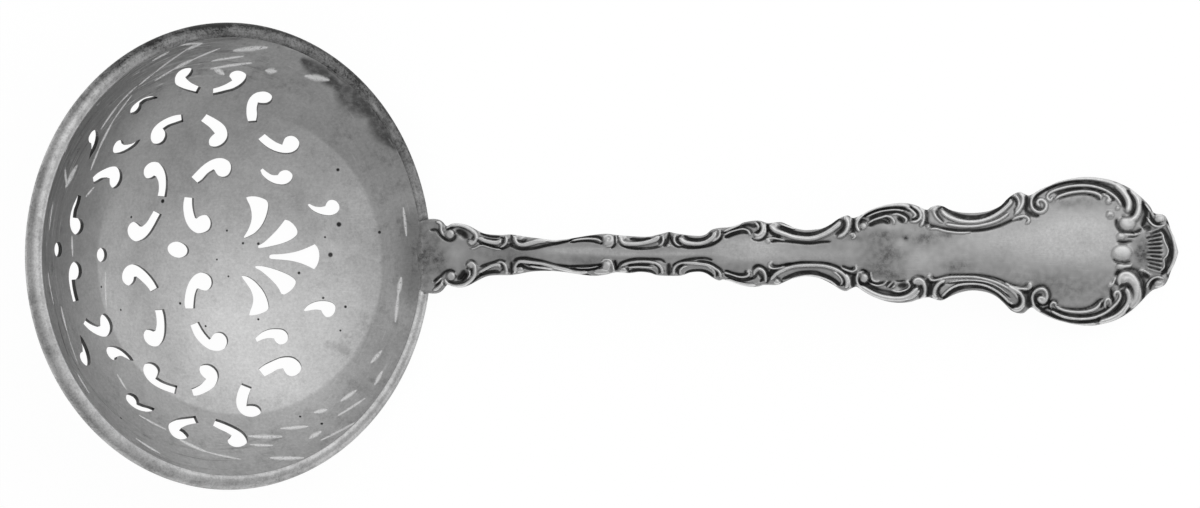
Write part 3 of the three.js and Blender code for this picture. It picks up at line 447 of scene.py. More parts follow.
def noise(tree, vector, scale, detail=3, roughness=0.55):
    """Noise from 0 to 1."""
    made = add_node(tree, "ShaderNodeTexNoise", vector)
    for name, value in (("Scale", scale), ("Detail", detail), ("Roughness", roughness)):
        made.inputs[name].default_value = value
    return made.outputs[0]


def ease(tree, value, low, high, to_low=0, to_high=1):
    """A value eased from one range to another."""
    return add_node(tree, "ShaderNodeMapRange", value, low, high, to_low, to_high,
                    interpolation_type="SMOOTHSTEP", clamp=False).outputs[0]


def patchy_mask(tree, vector, grain, limits):
    """A mask of patches: noise of a grain, eased between limits."""
    return ease(tree, noise(tree, vector, *grain), *limits)


def vary_by(tree, value, swing, base):
    """A base that noise from 0 to 1 swings up and down."""
    return calc(tree, "MULTIPLY_ADD", calc(tree, "SUBTRACT", value, 0.5), swing, base)


def blend_values(tree, amount, first, second):
    """A mix of two values."""
    return add_node(tree, "ShaderNodeMix", amount, None, first, second, data_type="FLOAT").outputs[0]


def new_group(name, inputs, outputs):
    """An empty node group with its sockets, and its input and output nodes."""
    group = bpy.data.node_groups.new(name, "ShaderNodeTree")
    for title, kind in inputs:
        group.interface.new_socket(title, in_out="INPUT", socket_type=kind)
    for title, kind in outputs:
        group.interface.new_socket(title, in_out="OUTPUT", socket_type=kind)
    return group, group.nodes.new("NodeGroupInput").outputs, group.nodes.new("NodeGroupOutput").inputs


FLOAT, VECTOR = "NodeSocketFloat", "NodeSocketVector"

# Grains are scale per millimetre, detail and roughness. Swings say how far a noise varies the tone.
CLOUD_GRAIN = (0.11, 4)
BLOTCH_GRAIN = (0.5, 5, 0.65)
FINE_GRAIN = (2.6, 5, 0.75)
SCRATCH_GRAIN = (1.1, 2)
SCRATCH_TURNS = (0.5, 2.1)
SCRATCH_STRETCH = (0.35, 7, 0.35)
SCRATCH_LIMITS = ((0.6, 0.72), (0.62, 0.74))
CLOUD_SWING = 0.4
BLOTCH_SWING = 0.4
FINE_SWING = 0.75
SCRATCH_LIFT = 0.07
TARNISH_PATCHES = (0.2, 0.6, 0.8, 1.05)
TARNISH_DARKENS = 0.93
POLISHED_TONE = 0.97
CLEAN_ROUGHNESS = 0.33
TARNISH_ROUGHENS = 0.22
POLISH_SMOOTHS = 0.1
ROUGHNESS_SWING = 0.25
FINE_HEIGHT_SHARE = 0.5
SCRATCH_DEPTH_SHARE = 0.6
FINE_RELIEF = 0.00003
STROKE_TIP_SHARE = 0.4
STROKE_EDGE_SHARES = (1.3, 0.2)


def make_aged_silver():
    """Silver that is clouded, speckled and finely scratched, dark with tarnish and painted shade, bright
    where rubbed.
    """
    inputs = [("Vector", VECTOR), ("Tone", FLOAT), ("Tarnish and shade", FLOAT), ("Polish", FLOAT)]
    outputs = [("Tone", FLOAT), ("Roughness", FLOAT), ("Height", FLOAT)]
    group, given, result = new_group("aged_silver", inputs, outputs)
    vector = given["Vector"]
    clouds = noise(group, vector, *CLOUD_GRAIN)
    blotches = noise(group, vector, *BLOTCH_GRAIN)
    fine = noise(group, vector, *FINE_GRAIN)
    lines = []
    for angle, limits in zip(SCRATCH_TURNS, SCRATCH_LIMITS):
        across = turned(group, vector, (0, 0, angle), SCRATCH_STRETCH)
        lines.append(patchy_mask(group, across, SCRATCH_GRAIN, limits))
    scratches = calc(group, "ADD", *lines)
    vary = vary_by(group, clouds, CLOUD_SWING, 1)
    vary = vary_by(group, blotches, BLOTCH_SWING, vary)
    vary = vary_by(group, fine, FINE_SWING, vary)
    vary = calc(group, "MULTIPLY_ADD", scratches, SCRATCH_LIFT, vary)
    tone = calc(group, "MULTIPLY", given["Tone"], vary)
    patchy = calc(group, "MULTIPLY", given["Tarnish and shade"], ease(group, blotches, *TARNISH_PATCHES), clamp=True)
    tone = calc(group, "MULTIPLY", tone, calc(group, "MULTIPLY_ADD", patchy, -TARNISH_DARKENS, 1))
    tone = blend_values(group, given["Polish"], tone, POLISHED_TONE)
    rough = calc(group, "MULTIPLY_ADD", patchy, TARNISH_ROUGHENS, CLEAN_ROUGHNESS)
    rough = calc(group, "MULTIPLY_ADD", given["Polish"], -POLISH_SMOOTHS, rough)
    rough = vary_by(group, blotches, ROUGHNESS_SWING, rough)
    height = calc(group, "MULTIPLY", fine, FINE_HEIGHT_SHARE)
    height = calc(group, "SUBTRACT", height, calc(group, "MULTIPLY", scratches, SCRATCH_DEPTH_SHARE))
    for value, socket in zip((tone, rough, height), result):
        connect(group, value, socket)
    return group


def make_stroke():
    """A soft stroke between two points, narrowing to its ends."""
    inputs = [("Vector", VECTOR), ("Start", VECTOR), ("Run", VECTOR), ("Half width", FLOAT)]
    group, given, result = new_group("stroke", inputs, [("Mask", FLOAT)])
    away = add_node(group, "ShaderNodeVectorMath", given["Vector"], given["Start"],
                    operation="SUBTRACT").outputs[0]
    run = given["Run"]
    share = calc(group, "DIVIDE", measure(group, "DOT_PRODUCT", away, run),
                 measure(group, "DOT_PRODUCT", run, run))
    share = calc(group, "MAXIMUM", calc(group, "MINIMUM", share, 1), 0)
    foot = add_node(group, "ShaderNodeVectorMath", run, operation="SCALE")
    connect(group, share, foot.inputs["Scale"])
    gap = measure(group, "DISTANCE", away, foot.outputs[0])
    bow = calc(group, "MULTIPLY", calc(group, "MULTIPLY", share, calc(group, "SUBTRACT", 1, share)), 4)
    bow = calc(group, "MULTIPLY_ADD", bow, 1 - STROKE_TIP_SHARE, STROKE_TIP_SHARE)
    width = calc(group, "MULTIPLY", given["Half width"], bow)
    connect(group, ease(group, calc(group, "DIVIDE", gap, width), *STROKE_EDGE_SHARES), result["Mask"])
    return group


aged_silver, stroke = make_aged_silver(), make_stroke()


def place_group(tree, group, *inputs):
    """A group's node with its inputs."""
    made = add_node(tree, "ShaderNodeGroup", node_tree=group)
    for socket, value in zip(made.inputs, inputs):
        connect(tree, value, socket)
    return made.outputs


def new_silver(name):
    """A material with its tree, its Principled shader and the object's coordinates."""
    material = bpy.data.materials.new(name)
    material.use_nodes = True
    tree = material.node_tree
    shader = tree.nodes["Principled BSDF"]
    shader.inputs["Metallic"].default_value = 1
    return material, tree, shader, tree.nodes.new("ShaderNodeTexCoord").outputs["Object"]


def finish_silver(tree, shader, vector, tone, tarnish_and_shade, polish, bump):
    """Feeds the aged silver's tone, roughness and fine relief into the shader."""
    made = place_group(tree, aged_silver, vector, tone, tarnish_and_shade, polish)
    connect(tree, made["Tone"], shader.inputs["Base Color"])
    connect(tree, made["Roughness"], shader.inputs["Roughness"])
    relief = tree.nodes.new("ShaderNodeBump")
    relief.inputs["Strength"].default_value = bump
    relief.inputs["Distance"].default_value = FINE_RELIEF
    connect(tree, made["Height"], relief.inputs["Height"])
    connect(tree, relief.outputs[0], shader.inputs["Normal"])


def in_bowl_frame(tree, coordinates):
    """The object's coordinates in the bowl's own frame, in millimetres."""
    scale = (1 / MM_PER_M,) * 3
    return add_node(tree, "ShaderNodeMapping", coordinates, sphere_centre, (0, BOWL_TILT, 0), scale,
                    vector_type="TEXTURE").outputs[0]


def axis_distance(tree, vector):
    """Distance from the bowl's axis, in millimetres."""
    flat = add_node(tree, "ShaderNodeVectorMath", vector, (1, 1, 0), operation="MULTIPLY").outputs[0]
    return measure(tree, "LENGTH", flat)


def strongest(tree, masks):
    """The largest of several masks, compared as each is made, so that few wait at once."""
    masks = iter(masks)
    total = next(masks)
    for mask in masks:
        total = calc(tree, "MAXIMUM", total, mask)
    return total


def bowl_pit(tree, vector, x_px, y_px, half_px):
    """A round pit on the inside of the bowl at a pixel."""
    place = Vector(inside_bowl([(x_px, y_px)])[0]) * MM_PER_M
    gap = measure(tree, "DISTANCE", vector, place)
    return ease(tree, gap, *(half_px * share / PX_PER_MM for share in PIT_EDGE_SHARES))


def bowl_stroke(tree, vector, start, end, half_px):
    """A stroke on the inside of the bowl between two pixels."""
    a, b = inside_bowl([start, end]) * MM_PER_M
    half_mm = STROKE_SPREAD * half_px / PX_PER_MM
    return place_group(tree, stroke, vector, Vector(a), Vector(b - a), half_mm)["Mask"]


def ring_noise(tree, from_axis, angle, stretch, grain):
    """Noise drawn out along rings round the bowl's axis."""
    rings = [calc(tree, "MULTIPLY", value, by) for value, by in zip((from_axis, angle), stretch)]
    return noise(tree, add_node(tree, "ShaderNodeCombineXYZ", *rings).outputs[0], *grain)


# Sides of the bowl are directions in its own frame. Places are millimetres along them or from its axis.
LOWER_SIDE = (0.45, -0.89, 0)
FAR_SIDE = (-0.8, 0.6, 0)
FLOOR_MIDDLE_MM = (6.2, -1, -36.4)
FLOOR_EDGE_MM = 20.3
FLOOR_SOFTNESS_MM = 0.3
FLOOR_LOWER_MM = (-16, -3)
WALL_MM = (15, 27)
HIGH_WALL_MM = (21, 25)
FAR_WALL_MM = (6, 28)
LOWER_WALL_MM = (14, 25)
RIGHT_WALL_MM = (15, 20)
RIGHT_WALL_HALF_MM = (13, 5)
UPPER_LEFT_MM = (10, 20)
UPPER_LEFT_WALL_MM = (21, 23.5)
ROOT_WALL_MM = (24.8, 27.2)
ROOT_WALL_HALF_MM = (8, 4)
SAWN_LIMIT_MM = (27.8, 27.5)

# Tones, painted light and shade, and how strongly each mark tarnishes or polishes the silver
BOWL_TONE = 0.46
# The floor, lower wall and right wall are lifted by painted reflection light; the far wall is darkened by
# painted shade
FLOOR_PAINTED_LIGHT = 0.15
FAR_WALL_PAINTED_SHADE = 0.14
LOWER_WALL_PAINTED_LIGHT = 0.06
RIGHT_WALL_PAINTED_LIGHT = 0.08
SMEAR_TARNISH = 0.1
WALL_SMEAR_TARNISH = 0.22
ROOT_WALL_PAINTED_SHADE = 0.4
SAWN_TARNISH = 0.85
ARC_TARNISH_AND_LEFT_SHADE = (0, 14, 0.42, 0.12)
ARC_POLISH = 0.22
THREAD_POLISH = 0.6
POLISH_MATTS = 0.8
BOWL_BUMP = 0.25

# Grains and limits of the marks
RUBBED_GRAIN = (2.6, 4, 0.75)
RUBBED_LIMITS = (0.3, 0.48)
SMEAR_GRAIN = (0.4, 6, 0.75)
SMEAR_LIMITS = (0.5, 0.72)
ARC_GRAIN = (1, 5, 0.75)
ARC_STRETCH = (1.7, 2)
DARK_ARC_LIMITS = (0.5, 0.7)
BRIGHT_ARC_LIMITS = (0.4, 0.33)
THREAD_GRAIN = (1, 3, 0.6)
THREAD_STRETCH = (5, 3)
THREAD_LIMITS = (0.54, 0.64)
THREAD_SMEARS = (0, 0.5, 0.35, 1)
BAND_GRAIN = (0.9, 4, 0.7)
BAND_LIMITS = (0.25, 0.6, 0.36, 0.74)

material, tree, shader, coordinates = new_silver("bowl_silver")
vector = in_bowl_frame(tree, coordinates)
from_axis = axis_distance(tree, vector)
pits = strongest(tree, (bowl_pit(tree, vector, *pit) for pit in PITS_PX))
streaks = strongest(tree, (bowl_stroke(tree, vector, *streak) for streak in STREAKS_PX))
rubbed = calc(tree, "MULTIPLY", streaks, patchy_mask(tree, vector, RUBBED_GRAIN, RUBBED_LIMITS))

# Painted reflection light on the floor and low on the wall, and painted shade on the far wall
from_middle = measure(tree, "DISTANCE", vector, FLOOR_MIDDLE_MM)
floor = ease(tree, from_middle, FLOOR_EDGE_MM + FLOOR_SOFTNESS_MM, FLOOR_EDGE_MM - FLOOR_SOFTNESS_MM)
lower_side = measure(tree, "DOT_PRODUCT", vector, LOWER_SIDE)
floor = calc(tree, "MULTIPLY", floor, ease(tree, lower_side, *FLOOR_LOWER_MM))
wall = ease(tree, from_axis, *WALL_MM)
far_side = measure(tree, "DOT_PRODUCT", vector, FAR_SIDE)
tone = calc(tree, "MULTIPLY_ADD", floor, FLOOR_PAINTED_LIGHT, BOWL_TONE)
tone = calc(tree, "MULTIPLY_ADD", ease(tree, far_side, *FAR_WALL_MM), -FAR_WALL_PAINTED_SHADE, tone)
tone = calc(tree, "MULTIPLY_ADD", ease(tree, lower_side, *LOWER_WALL_MM), LOWER_WALL_PAINTED_LIGHT, tone)

# Smears of tarnish, and arcs of tarnish and of polish that run round the wall. The dark arcs are stronger
# towards the left, which is partly painted shade.
smears = patchy_mask(tree, vector, SMEAR_GRAIN, SMEAR_LIMITS)
smear_share = calc(tree, "MULTIPLY_ADD", wall, WALL_SMEAR_TARNISH, SMEAR_TARNISH)
tarnish_and_shade = calc(tree, "MULTIPLY", smears, smear_share)
parts = add_node(tree, "ShaderNodeSeparateXYZ", vector).outputs
angle = calc(tree, "ARCTAN2", parts[1], calc(tree, "MULTIPLY", parts[0], -1))
arcs = ring_noise(tree, from_axis, angle, ARC_STRETCH, ARC_GRAIN)
high_wall = ease(tree, from_axis, *HIGH_WALL_MM)
arc_share = calc(tree, "MULTIPLY", ease(tree, arcs, *DARK_ARC_LIMITS), ease(tree, parts[0], *ARC_TARNISH_AND_LEFT_SHADE))
tarnish_and_shade = calc(tree, "MULTIPLY_ADD", high_wall, arc_share, tarnish_and_shade)
bright_arcs = calc(tree, "MULTIPLY", high_wall, ease(tree, arcs, *BRIGHT_ARC_LIMITS))
rubbed = calc(tree, "MAXIMUM", rubbed, calc(tree, "MULTIPLY", bright_arcs, ARC_POLISH))

# Fine bright threads on the upper left wall
threads = ease(tree, ring_noise(tree, from_axis, angle, THREAD_STRETCH, THREAD_GRAIN), *THREAD_LIMITS)
upper_left = calc(tree, "MULTIPLY", ease(tree, far_side, *UPPER_LEFT_MM),
                  ease(tree, from_axis, *UPPER_LEFT_WALL_MM))
thread_share = calc(tree, "MULTIPLY", upper_left, ease(tree, smears, *THREAD_SMEARS))
threads = calc(tree, "MULTIPLY", threads, thread_share)
rubbed = calc(tree, "MAXIMUM", rubbed, calc(tree, "MULTIPLY", threads, THREAD_POLISH))

# The wall before the handle's root darkened by painted shade, the right wall lightened by painted light, the
# bands of painted shade and tarnish, the pits and the sawn edges
off_middle = calc(tree, "ABSOLUTE", parts[1])
# Painted shade on the wall before the handle's root
root_painted_shade = calc(tree, "MULTIPLY", ease(tree, parts[0], *ROOT_WALL_MM),
                   ease(tree, off_middle, *ROOT_WALL_HALF_MM))
tarnish_and_shade = calc(tree, "MULTIPLY_ADD", root_painted_shade, ROOT_WALL_PAINTED_SHADE, tarnish_and_shade)
# Painted reflection light on the right wall
right_wall_painted_light = calc(tree, "MULTIPLY", ease(tree, parts[0], *RIGHT_WALL_MM),
                  ease(tree, off_middle, *RIGHT_WALL_HALF_MM))
tone = calc(tree, "MULTIPLY_ADD", right_wall_painted_light, RIGHT_WALL_PAINTED_LIGHT, tone)
# Bands of painted shade below the lip, and narrow dark tarnish marks
shade_and_tarnish_bands = strongest(tree, (bowl_stroke(tree, vector, *band) for band in SHADE_AND_TARNISH_BANDS_PX))
shade_and_tarnish_bands = calc(tree, "MULTIPLY", shade_and_tarnish_bands, patchy_mask(tree, vector, BAND_GRAIN, BAND_LIMITS))
tarnish_and_shade = calc(tree, "MAXIMUM", tarnish_and_shade, shade_and_tarnish_bands)
tarnish_and_shade = calc(tree, "MAXIMUM", tarnish_and_shade, pits)
sawn = add_node(tree, "ShaderNodeAttribute", attribute_name="sawn").outputs["Fac"]
sawn = calc(tree, "MULTIPLY", sawn, ease(tree, from_axis, *SAWN_LIMIT_MM))
tarnish_and_shade = calc(tree, "MAXIMUM", tarnish_and_shade, calc(tree, "MULTIPLY", sawn, SAWN_TARNISH))
# The tarnish fed to the silver also carries the painted shade of the root, the bands and the left arcs
finish_silver(tree, shader, vector, tone, tarnish_and_shade, rubbed, BOWL_BUMP)
connect(tree, calc(tree, "MULTIPLY_ADD", rubbed, -POLISH_MATTS, 1), shader.inputs["Metallic"])
bowl.data.materials.append(material)

# Rim wire: a half-round silver wire bent to a C and soldered round the lip, over the edge of the sheet.
# Its two ends are cut square beside the handle's root.
WIRE_STEPS = 240
WIRE_HALF_GAP = 0.00465
WIRE_HEIGHT = 0.0016
WIRE_BED_SHARE = 0.5
rim_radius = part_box("rim_wire")[1].y
foot_radius = math.sqrt(outer_sphere ** 2 - (lip_drop + WIRE_HEIGHT) ** 2)
wire_width = rim_radius - lip_inner

# Section of the wire: shares of its width outwards from the inside of the lip, and of its height down
WIRE_SHARES = [(0, 0.1), (0.02, 0), (0.1, -0.08), (0.24, -0.13), (0.42, -0.13), (0.6, -0.07), (0.76, 0.04),
               (0.89, 0.2), (0.97, 0.38), (1, 0.56), (0.97, 0.74), (0.88, 0.89), (0.72, 0.98)]
section = [(lip_inner + out * wire_width, -lip_drop - down * WIRE_HEIGHT) for out, down in WIRE_SHARES]
section.append((foot_radius, -lip_drop - WIRE_HEIGHT))
section.append((lip_outer - SHEET_THICKNESS / 2, -lip_drop - WIRE_HEIGHT * WIRE_BED_SHARE))
start_angle = math.asin(WIRE_HALF_GAP / rim_radius)
bm = bmesh.new()
ring = [bm.verts.new(Matrix.Rotation(start_angle, 3, "Z") @ Vector((r, 0, z))) for r, z in section]
end_face = bm.faces.new(ring)
bmesh.ops.spin(bm, geom=[end_face], axis=(0, 0, 1), cent=(0, 0, 0), angle=math.tau - 2 * start_angle,
               steps=WIRE_STEPS, use_duplicate=False)
if end_face.is_valid and len(end_face.edges[0].link_faces) > 2:
    bm.faces.remove(end_face)
bmesh.ops.holes_fill(bm, edges=[e for e in bm.edges if e.is_boundary])
bmesh.ops.recalc_face_normals(bm, faces=bm.faces)
rim = new_piece("rim", bm)
rim.data.transform(bowl_place)
for polygon in rim.data.polygons:
    polygon.use_smooth = len(polygon.vertices) == 4
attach(rim, "root")
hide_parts("rim_wire")

# Finish of the wire: rubbed along its inner slope, speckled dark on its outer slope and black at the solder,
# with painted shade on its upper side and painted light that makes it lighter towards the left.
UPPER_SIDE = (0.35, 0.94, 0)
LEFT_SIDE = (-1, 0, 0)
OUTER_SLOPE_MM = (29, 29.8)
SOLDER_MM = (28.25, 28.02)
CREST_RISE_MM = (28.25, 28.5)
CREST_FALL_MM = (28.9, 28.6)
UPPER_SIDE_PAINTED_SHADE = (4, 26, 0, 0.6)
TONES_PAINTED_LIGHTER_LEFT = (8, 26, 0.67, 0.77)
SPECKLE_GRAIN = (3.2, 4, 0.75)
SPECKLE_LIMITS = (0.45, 0.62)
DRAWN_GRAIN = (3.5, 3, 0.6)
DRAWN_LIMITS = (0.4, 0.65)
PATCH_GRAIN = (0.3, 4, 0.7)
PATCH_LIMITS = (0.42, 0.65)
CREST_GRAIN = (0.25, 3)
CREST_POLISH = (0.45, 0.7, 0, 0.3)
OUTER_TARNISH = 0.28
PATCH_TARNISH = 0.2
SPECKLE_TARNISH = 0.18
DRAWN_TARNISH = 0.08
SOLDER_TARNISH = 0.7
WIRE_BUMP = 0.35

material, tree, shader, coordinates = new_silver("wire_silver")
vector = in_bowl_frame(tree, coordinates)
from_axis = axis_distance(tree, vector)
outer_slope = ease(tree, from_axis, *OUTER_SLOPE_MM)
# Painted shade on the wire's upper side
upper_side_painted_shade = ease(tree, measure(tree, "DOT_PRODUCT", vector, UPPER_SIDE), *UPPER_SIDE_PAINTED_SHADE)
tarnish_and_shade = calc(tree, "MULTIPLY_ADD", outer_slope, OUTER_TARNISH, upper_side_painted_shade)
patches = patchy_mask(tree, vector, PATCH_GRAIN, PATCH_LIMITS)
tarnish_and_shade = calc(tree, "MULTIPLY_ADD", patches, PATCH_TARNISH, tarnish_and_shade)
speckles = patchy_mask(tree, vector, SPECKLE_GRAIN, SPECKLE_LIMITS)
tarnish_and_shade = calc(tree, "MULTIPLY_ADD", speckles, SPECKLE_TARNISH, tarnish_and_shade)
drawn = patchy_mask(tree, from_axis, DRAWN_GRAIN, DRAWN_LIMITS)
tarnish_and_shade = calc(tree, "MULTIPLY_ADD", drawn, DRAWN_TARNISH, tarnish_and_shade)
solder = calc(tree, "MULTIPLY", ease(tree, from_axis, *SOLDER_MM), SOLDER_TARNISH)
tarnish_and_shade = calc(tree, "MAXIMUM", tarnish_and_shade, solder)
crest_line = calc(tree, "MULTIPLY", ease(tree, from_axis, *CREST_RISE_MM),
                  ease(tree, from_axis, *CREST_FALL_MM))
polish = calc(tree, "MULTIPLY", crest_line, patchy_mask(tree, vector, CREST_GRAIN, CREST_POLISH))
# Painted light: the wire's tone rises towards the left
tone = ease(tree, measure(tree, "DOT_PRODUCT", vector, LEFT_SIDE), *TONES_PAINTED_LIGHTER_LEFT)
finish_silver(tree, shader, vector, tone, tarnish_and_shade, polish, WIRE_BUMP)
rim.data.materials.append(material)

# Handle: one bar of silver struck in dies, with a plain centre panel between borders of C-scrolls, S-scrolls
# and leaf tips, and a shell at the end. Its root laps over the lip between the ends of the wire and is
# soldered there. The crests are rubbed bright, and the hollows are black with tarnish.
HANDLE_LENGTH = 0.0963
HANDLE_WIDTH = 0.0191
HANDLE_THICKNESS = 0.0024
HANDLE_ARCH = 0.0062
SCROLL_RELIEF = 0.00045
CROWN_SHARE = 0.07
TOP_ROUNDING = 0.0004
UNDER_ROUNDING = 0.0005
GROOVE_DEPTH = 0.00028
SEAM_GAP = 0.00035
ROOT_ALONG_PX = -173
TIP_ALONG_PX = 577.5
HANDLE_WIDTH_PX = 148.8
STATIONS_PX = (414, 1178.2)
STATION_STEPS = 760
TOP_STEPS = 108
AROUND_STEPS = 128

# At its root the bar stands a little above the lip, as the solder does, and its face is dished, not crowned
ROOT_BAR_SHARE = 0.72
ROOT_FADE = 0.006
ROOT_DISH = 0.0002
EDGE_CROWDING = 0.45
EDGE_CURVE_STEPS = 8
EDGE_OVERRUN_PX = 20

# Silhouette of the handle, as pixels from the root to the tip
UPPER_EDGE_PX = [
    (415, 220.5), (430, 218.9), (437, 219.3), (442, 221.6), (446.3, 226), (453, 223.2), (463, 224),
    (470, 226.5), (478, 231), (486, 234), (500, 235), (511, 234.5), (526, 236.8), (540, 238.5), (552, 240),
    (565, 239.3), (578, 237.2), (592, 235), (605, 233.8), (613, 234.5), (622, 235.5), (645, 236.8),
    (656, 235), (664, 233), (669, 232), (676, 233.5), (690, 235.3), (700, 235.8), (706, 234), (711, 230),
    (718, 228), (730, 227), (738, 224.5), (745, 222), (758, 220.5), (768, 223), (780, 222), (788, 225),
    (796, 228.5), (805, 230), (814, 229.6), (822, 228.3), (830, 224.5), (837, 219.5), (843, 216.5),
    (848, 215.5), (853, 218), (862, 214.5), (870, 210), (880, 206.3), (890, 204), (900, 203), (908, 203.5),
    (916, 205.5), (926, 209.8), (931, 207), (937, 205.5), (943, 206.3), (950, 209.8), (960, 212.3),
    (970, 213), (980, 212.5), (990, 210.5), (1000, 206), (1007, 199), (1013, 194.5), (1020, 192),
    (1029, 195.3), (1040, 189.3), (1050, 185.3), (1060, 181), (1070, 178.8), (1080, 177.3), (1090, 177),
    (1100, 178), (1110, 180), (1120, 183.5), (1130, 188.5), (1138, 194.5), (1145, 201), (1150, 206.5),
    (1154, 213), (1163, 214.8), (1167, 219), (1171, 230), (1174.5, 238), (1177, 247), (1178.2, 252),
]
LOWER_EDGE_PX = [
    (415, 292), (432, 293.6), (438, 292.9), (442.5, 290), (446, 285.6), (449, 285.2), (455, 287.3),
    (463, 287.3), (470, 284.5), (478, 280.2), (486, 276.5), (494, 275.3), (511, 275), (524, 272.8),
    (532, 271.5), (545, 270.8), (560, 271.5), (572, 273.3), (584, 275), (595, 275.8), (606, 274.5),
    (616, 272.3), (629, 273), (640, 271.8), (650, 273), (657, 275.3), (669, 275.8), (681, 275.5),
    (690, 272.5), (700, 271.8), (707, 274), (713, 278), (719, 280.5), (723, 279.5), (730, 281.5),
    (740, 285), (750, 286.8), (758, 286.5), (764, 285), (776, 285), (782, 283), (790, 279.5), (800, 277),
    (808, 276.3), (818, 277.8), (826, 281), (834, 285.5), (841, 290), (846, 291), (850, 289), (856, 286.8),
    (862, 290.5), (870, 295.3), (880, 299.5), (890, 302), (900, 302.8), (910, 302), (918, 299.5),
    (928, 297.3), (938, 300.2), (943, 300), (950, 296.5), (960, 292.5), (970, 290.5), (980, 291),
    (990, 293.5), (998, 298), (1005, 304.5), (1011, 310.5), (1018, 313.2), (1024, 312.8), (1031, 307.5),
    (1037, 311), (1046, 316), (1056, 319.8), (1066, 322.5), (1078, 325), (1090, 325.8), (1100, 324.5),
    (1112, 321.5), (1122, 316.8), (1132, 310), (1140, 302.5), (1146, 296), (1152, 290.5), (1158, 288.2),
    (1163, 286), (1167, 281.5), (1171, 271), (1174.5, 264), (1177, 257), (1178.2, 252),
]

# Side view from the root to the tip: shares of the length, the root's height, the arch and the thickness
SIDE_SHARES = [
    (-0.018, 0.9, 0.052, 0.712), (-0.009, 0.95, 0.026, 0.927), (0, 1, 0, 1), (0.05, 0.8, 0.2, 0.87),
    (0.1, 0.55, 0.39, 0.98), (0.2, 0.2, 0.71, 1), (0.35, 0, 0.96, 1), (0.5, 0, 1, 0.95),
    (0.65, 0, 0.83, 0.87), (0.8, 0, 0.45, 0.76), (0.88, 0, 0.19, 0.7), (0.94, 0, 0, 0.66),
    (0.985, 0, 0, 0.62), (1, 0, 0.03, 0.55),
]

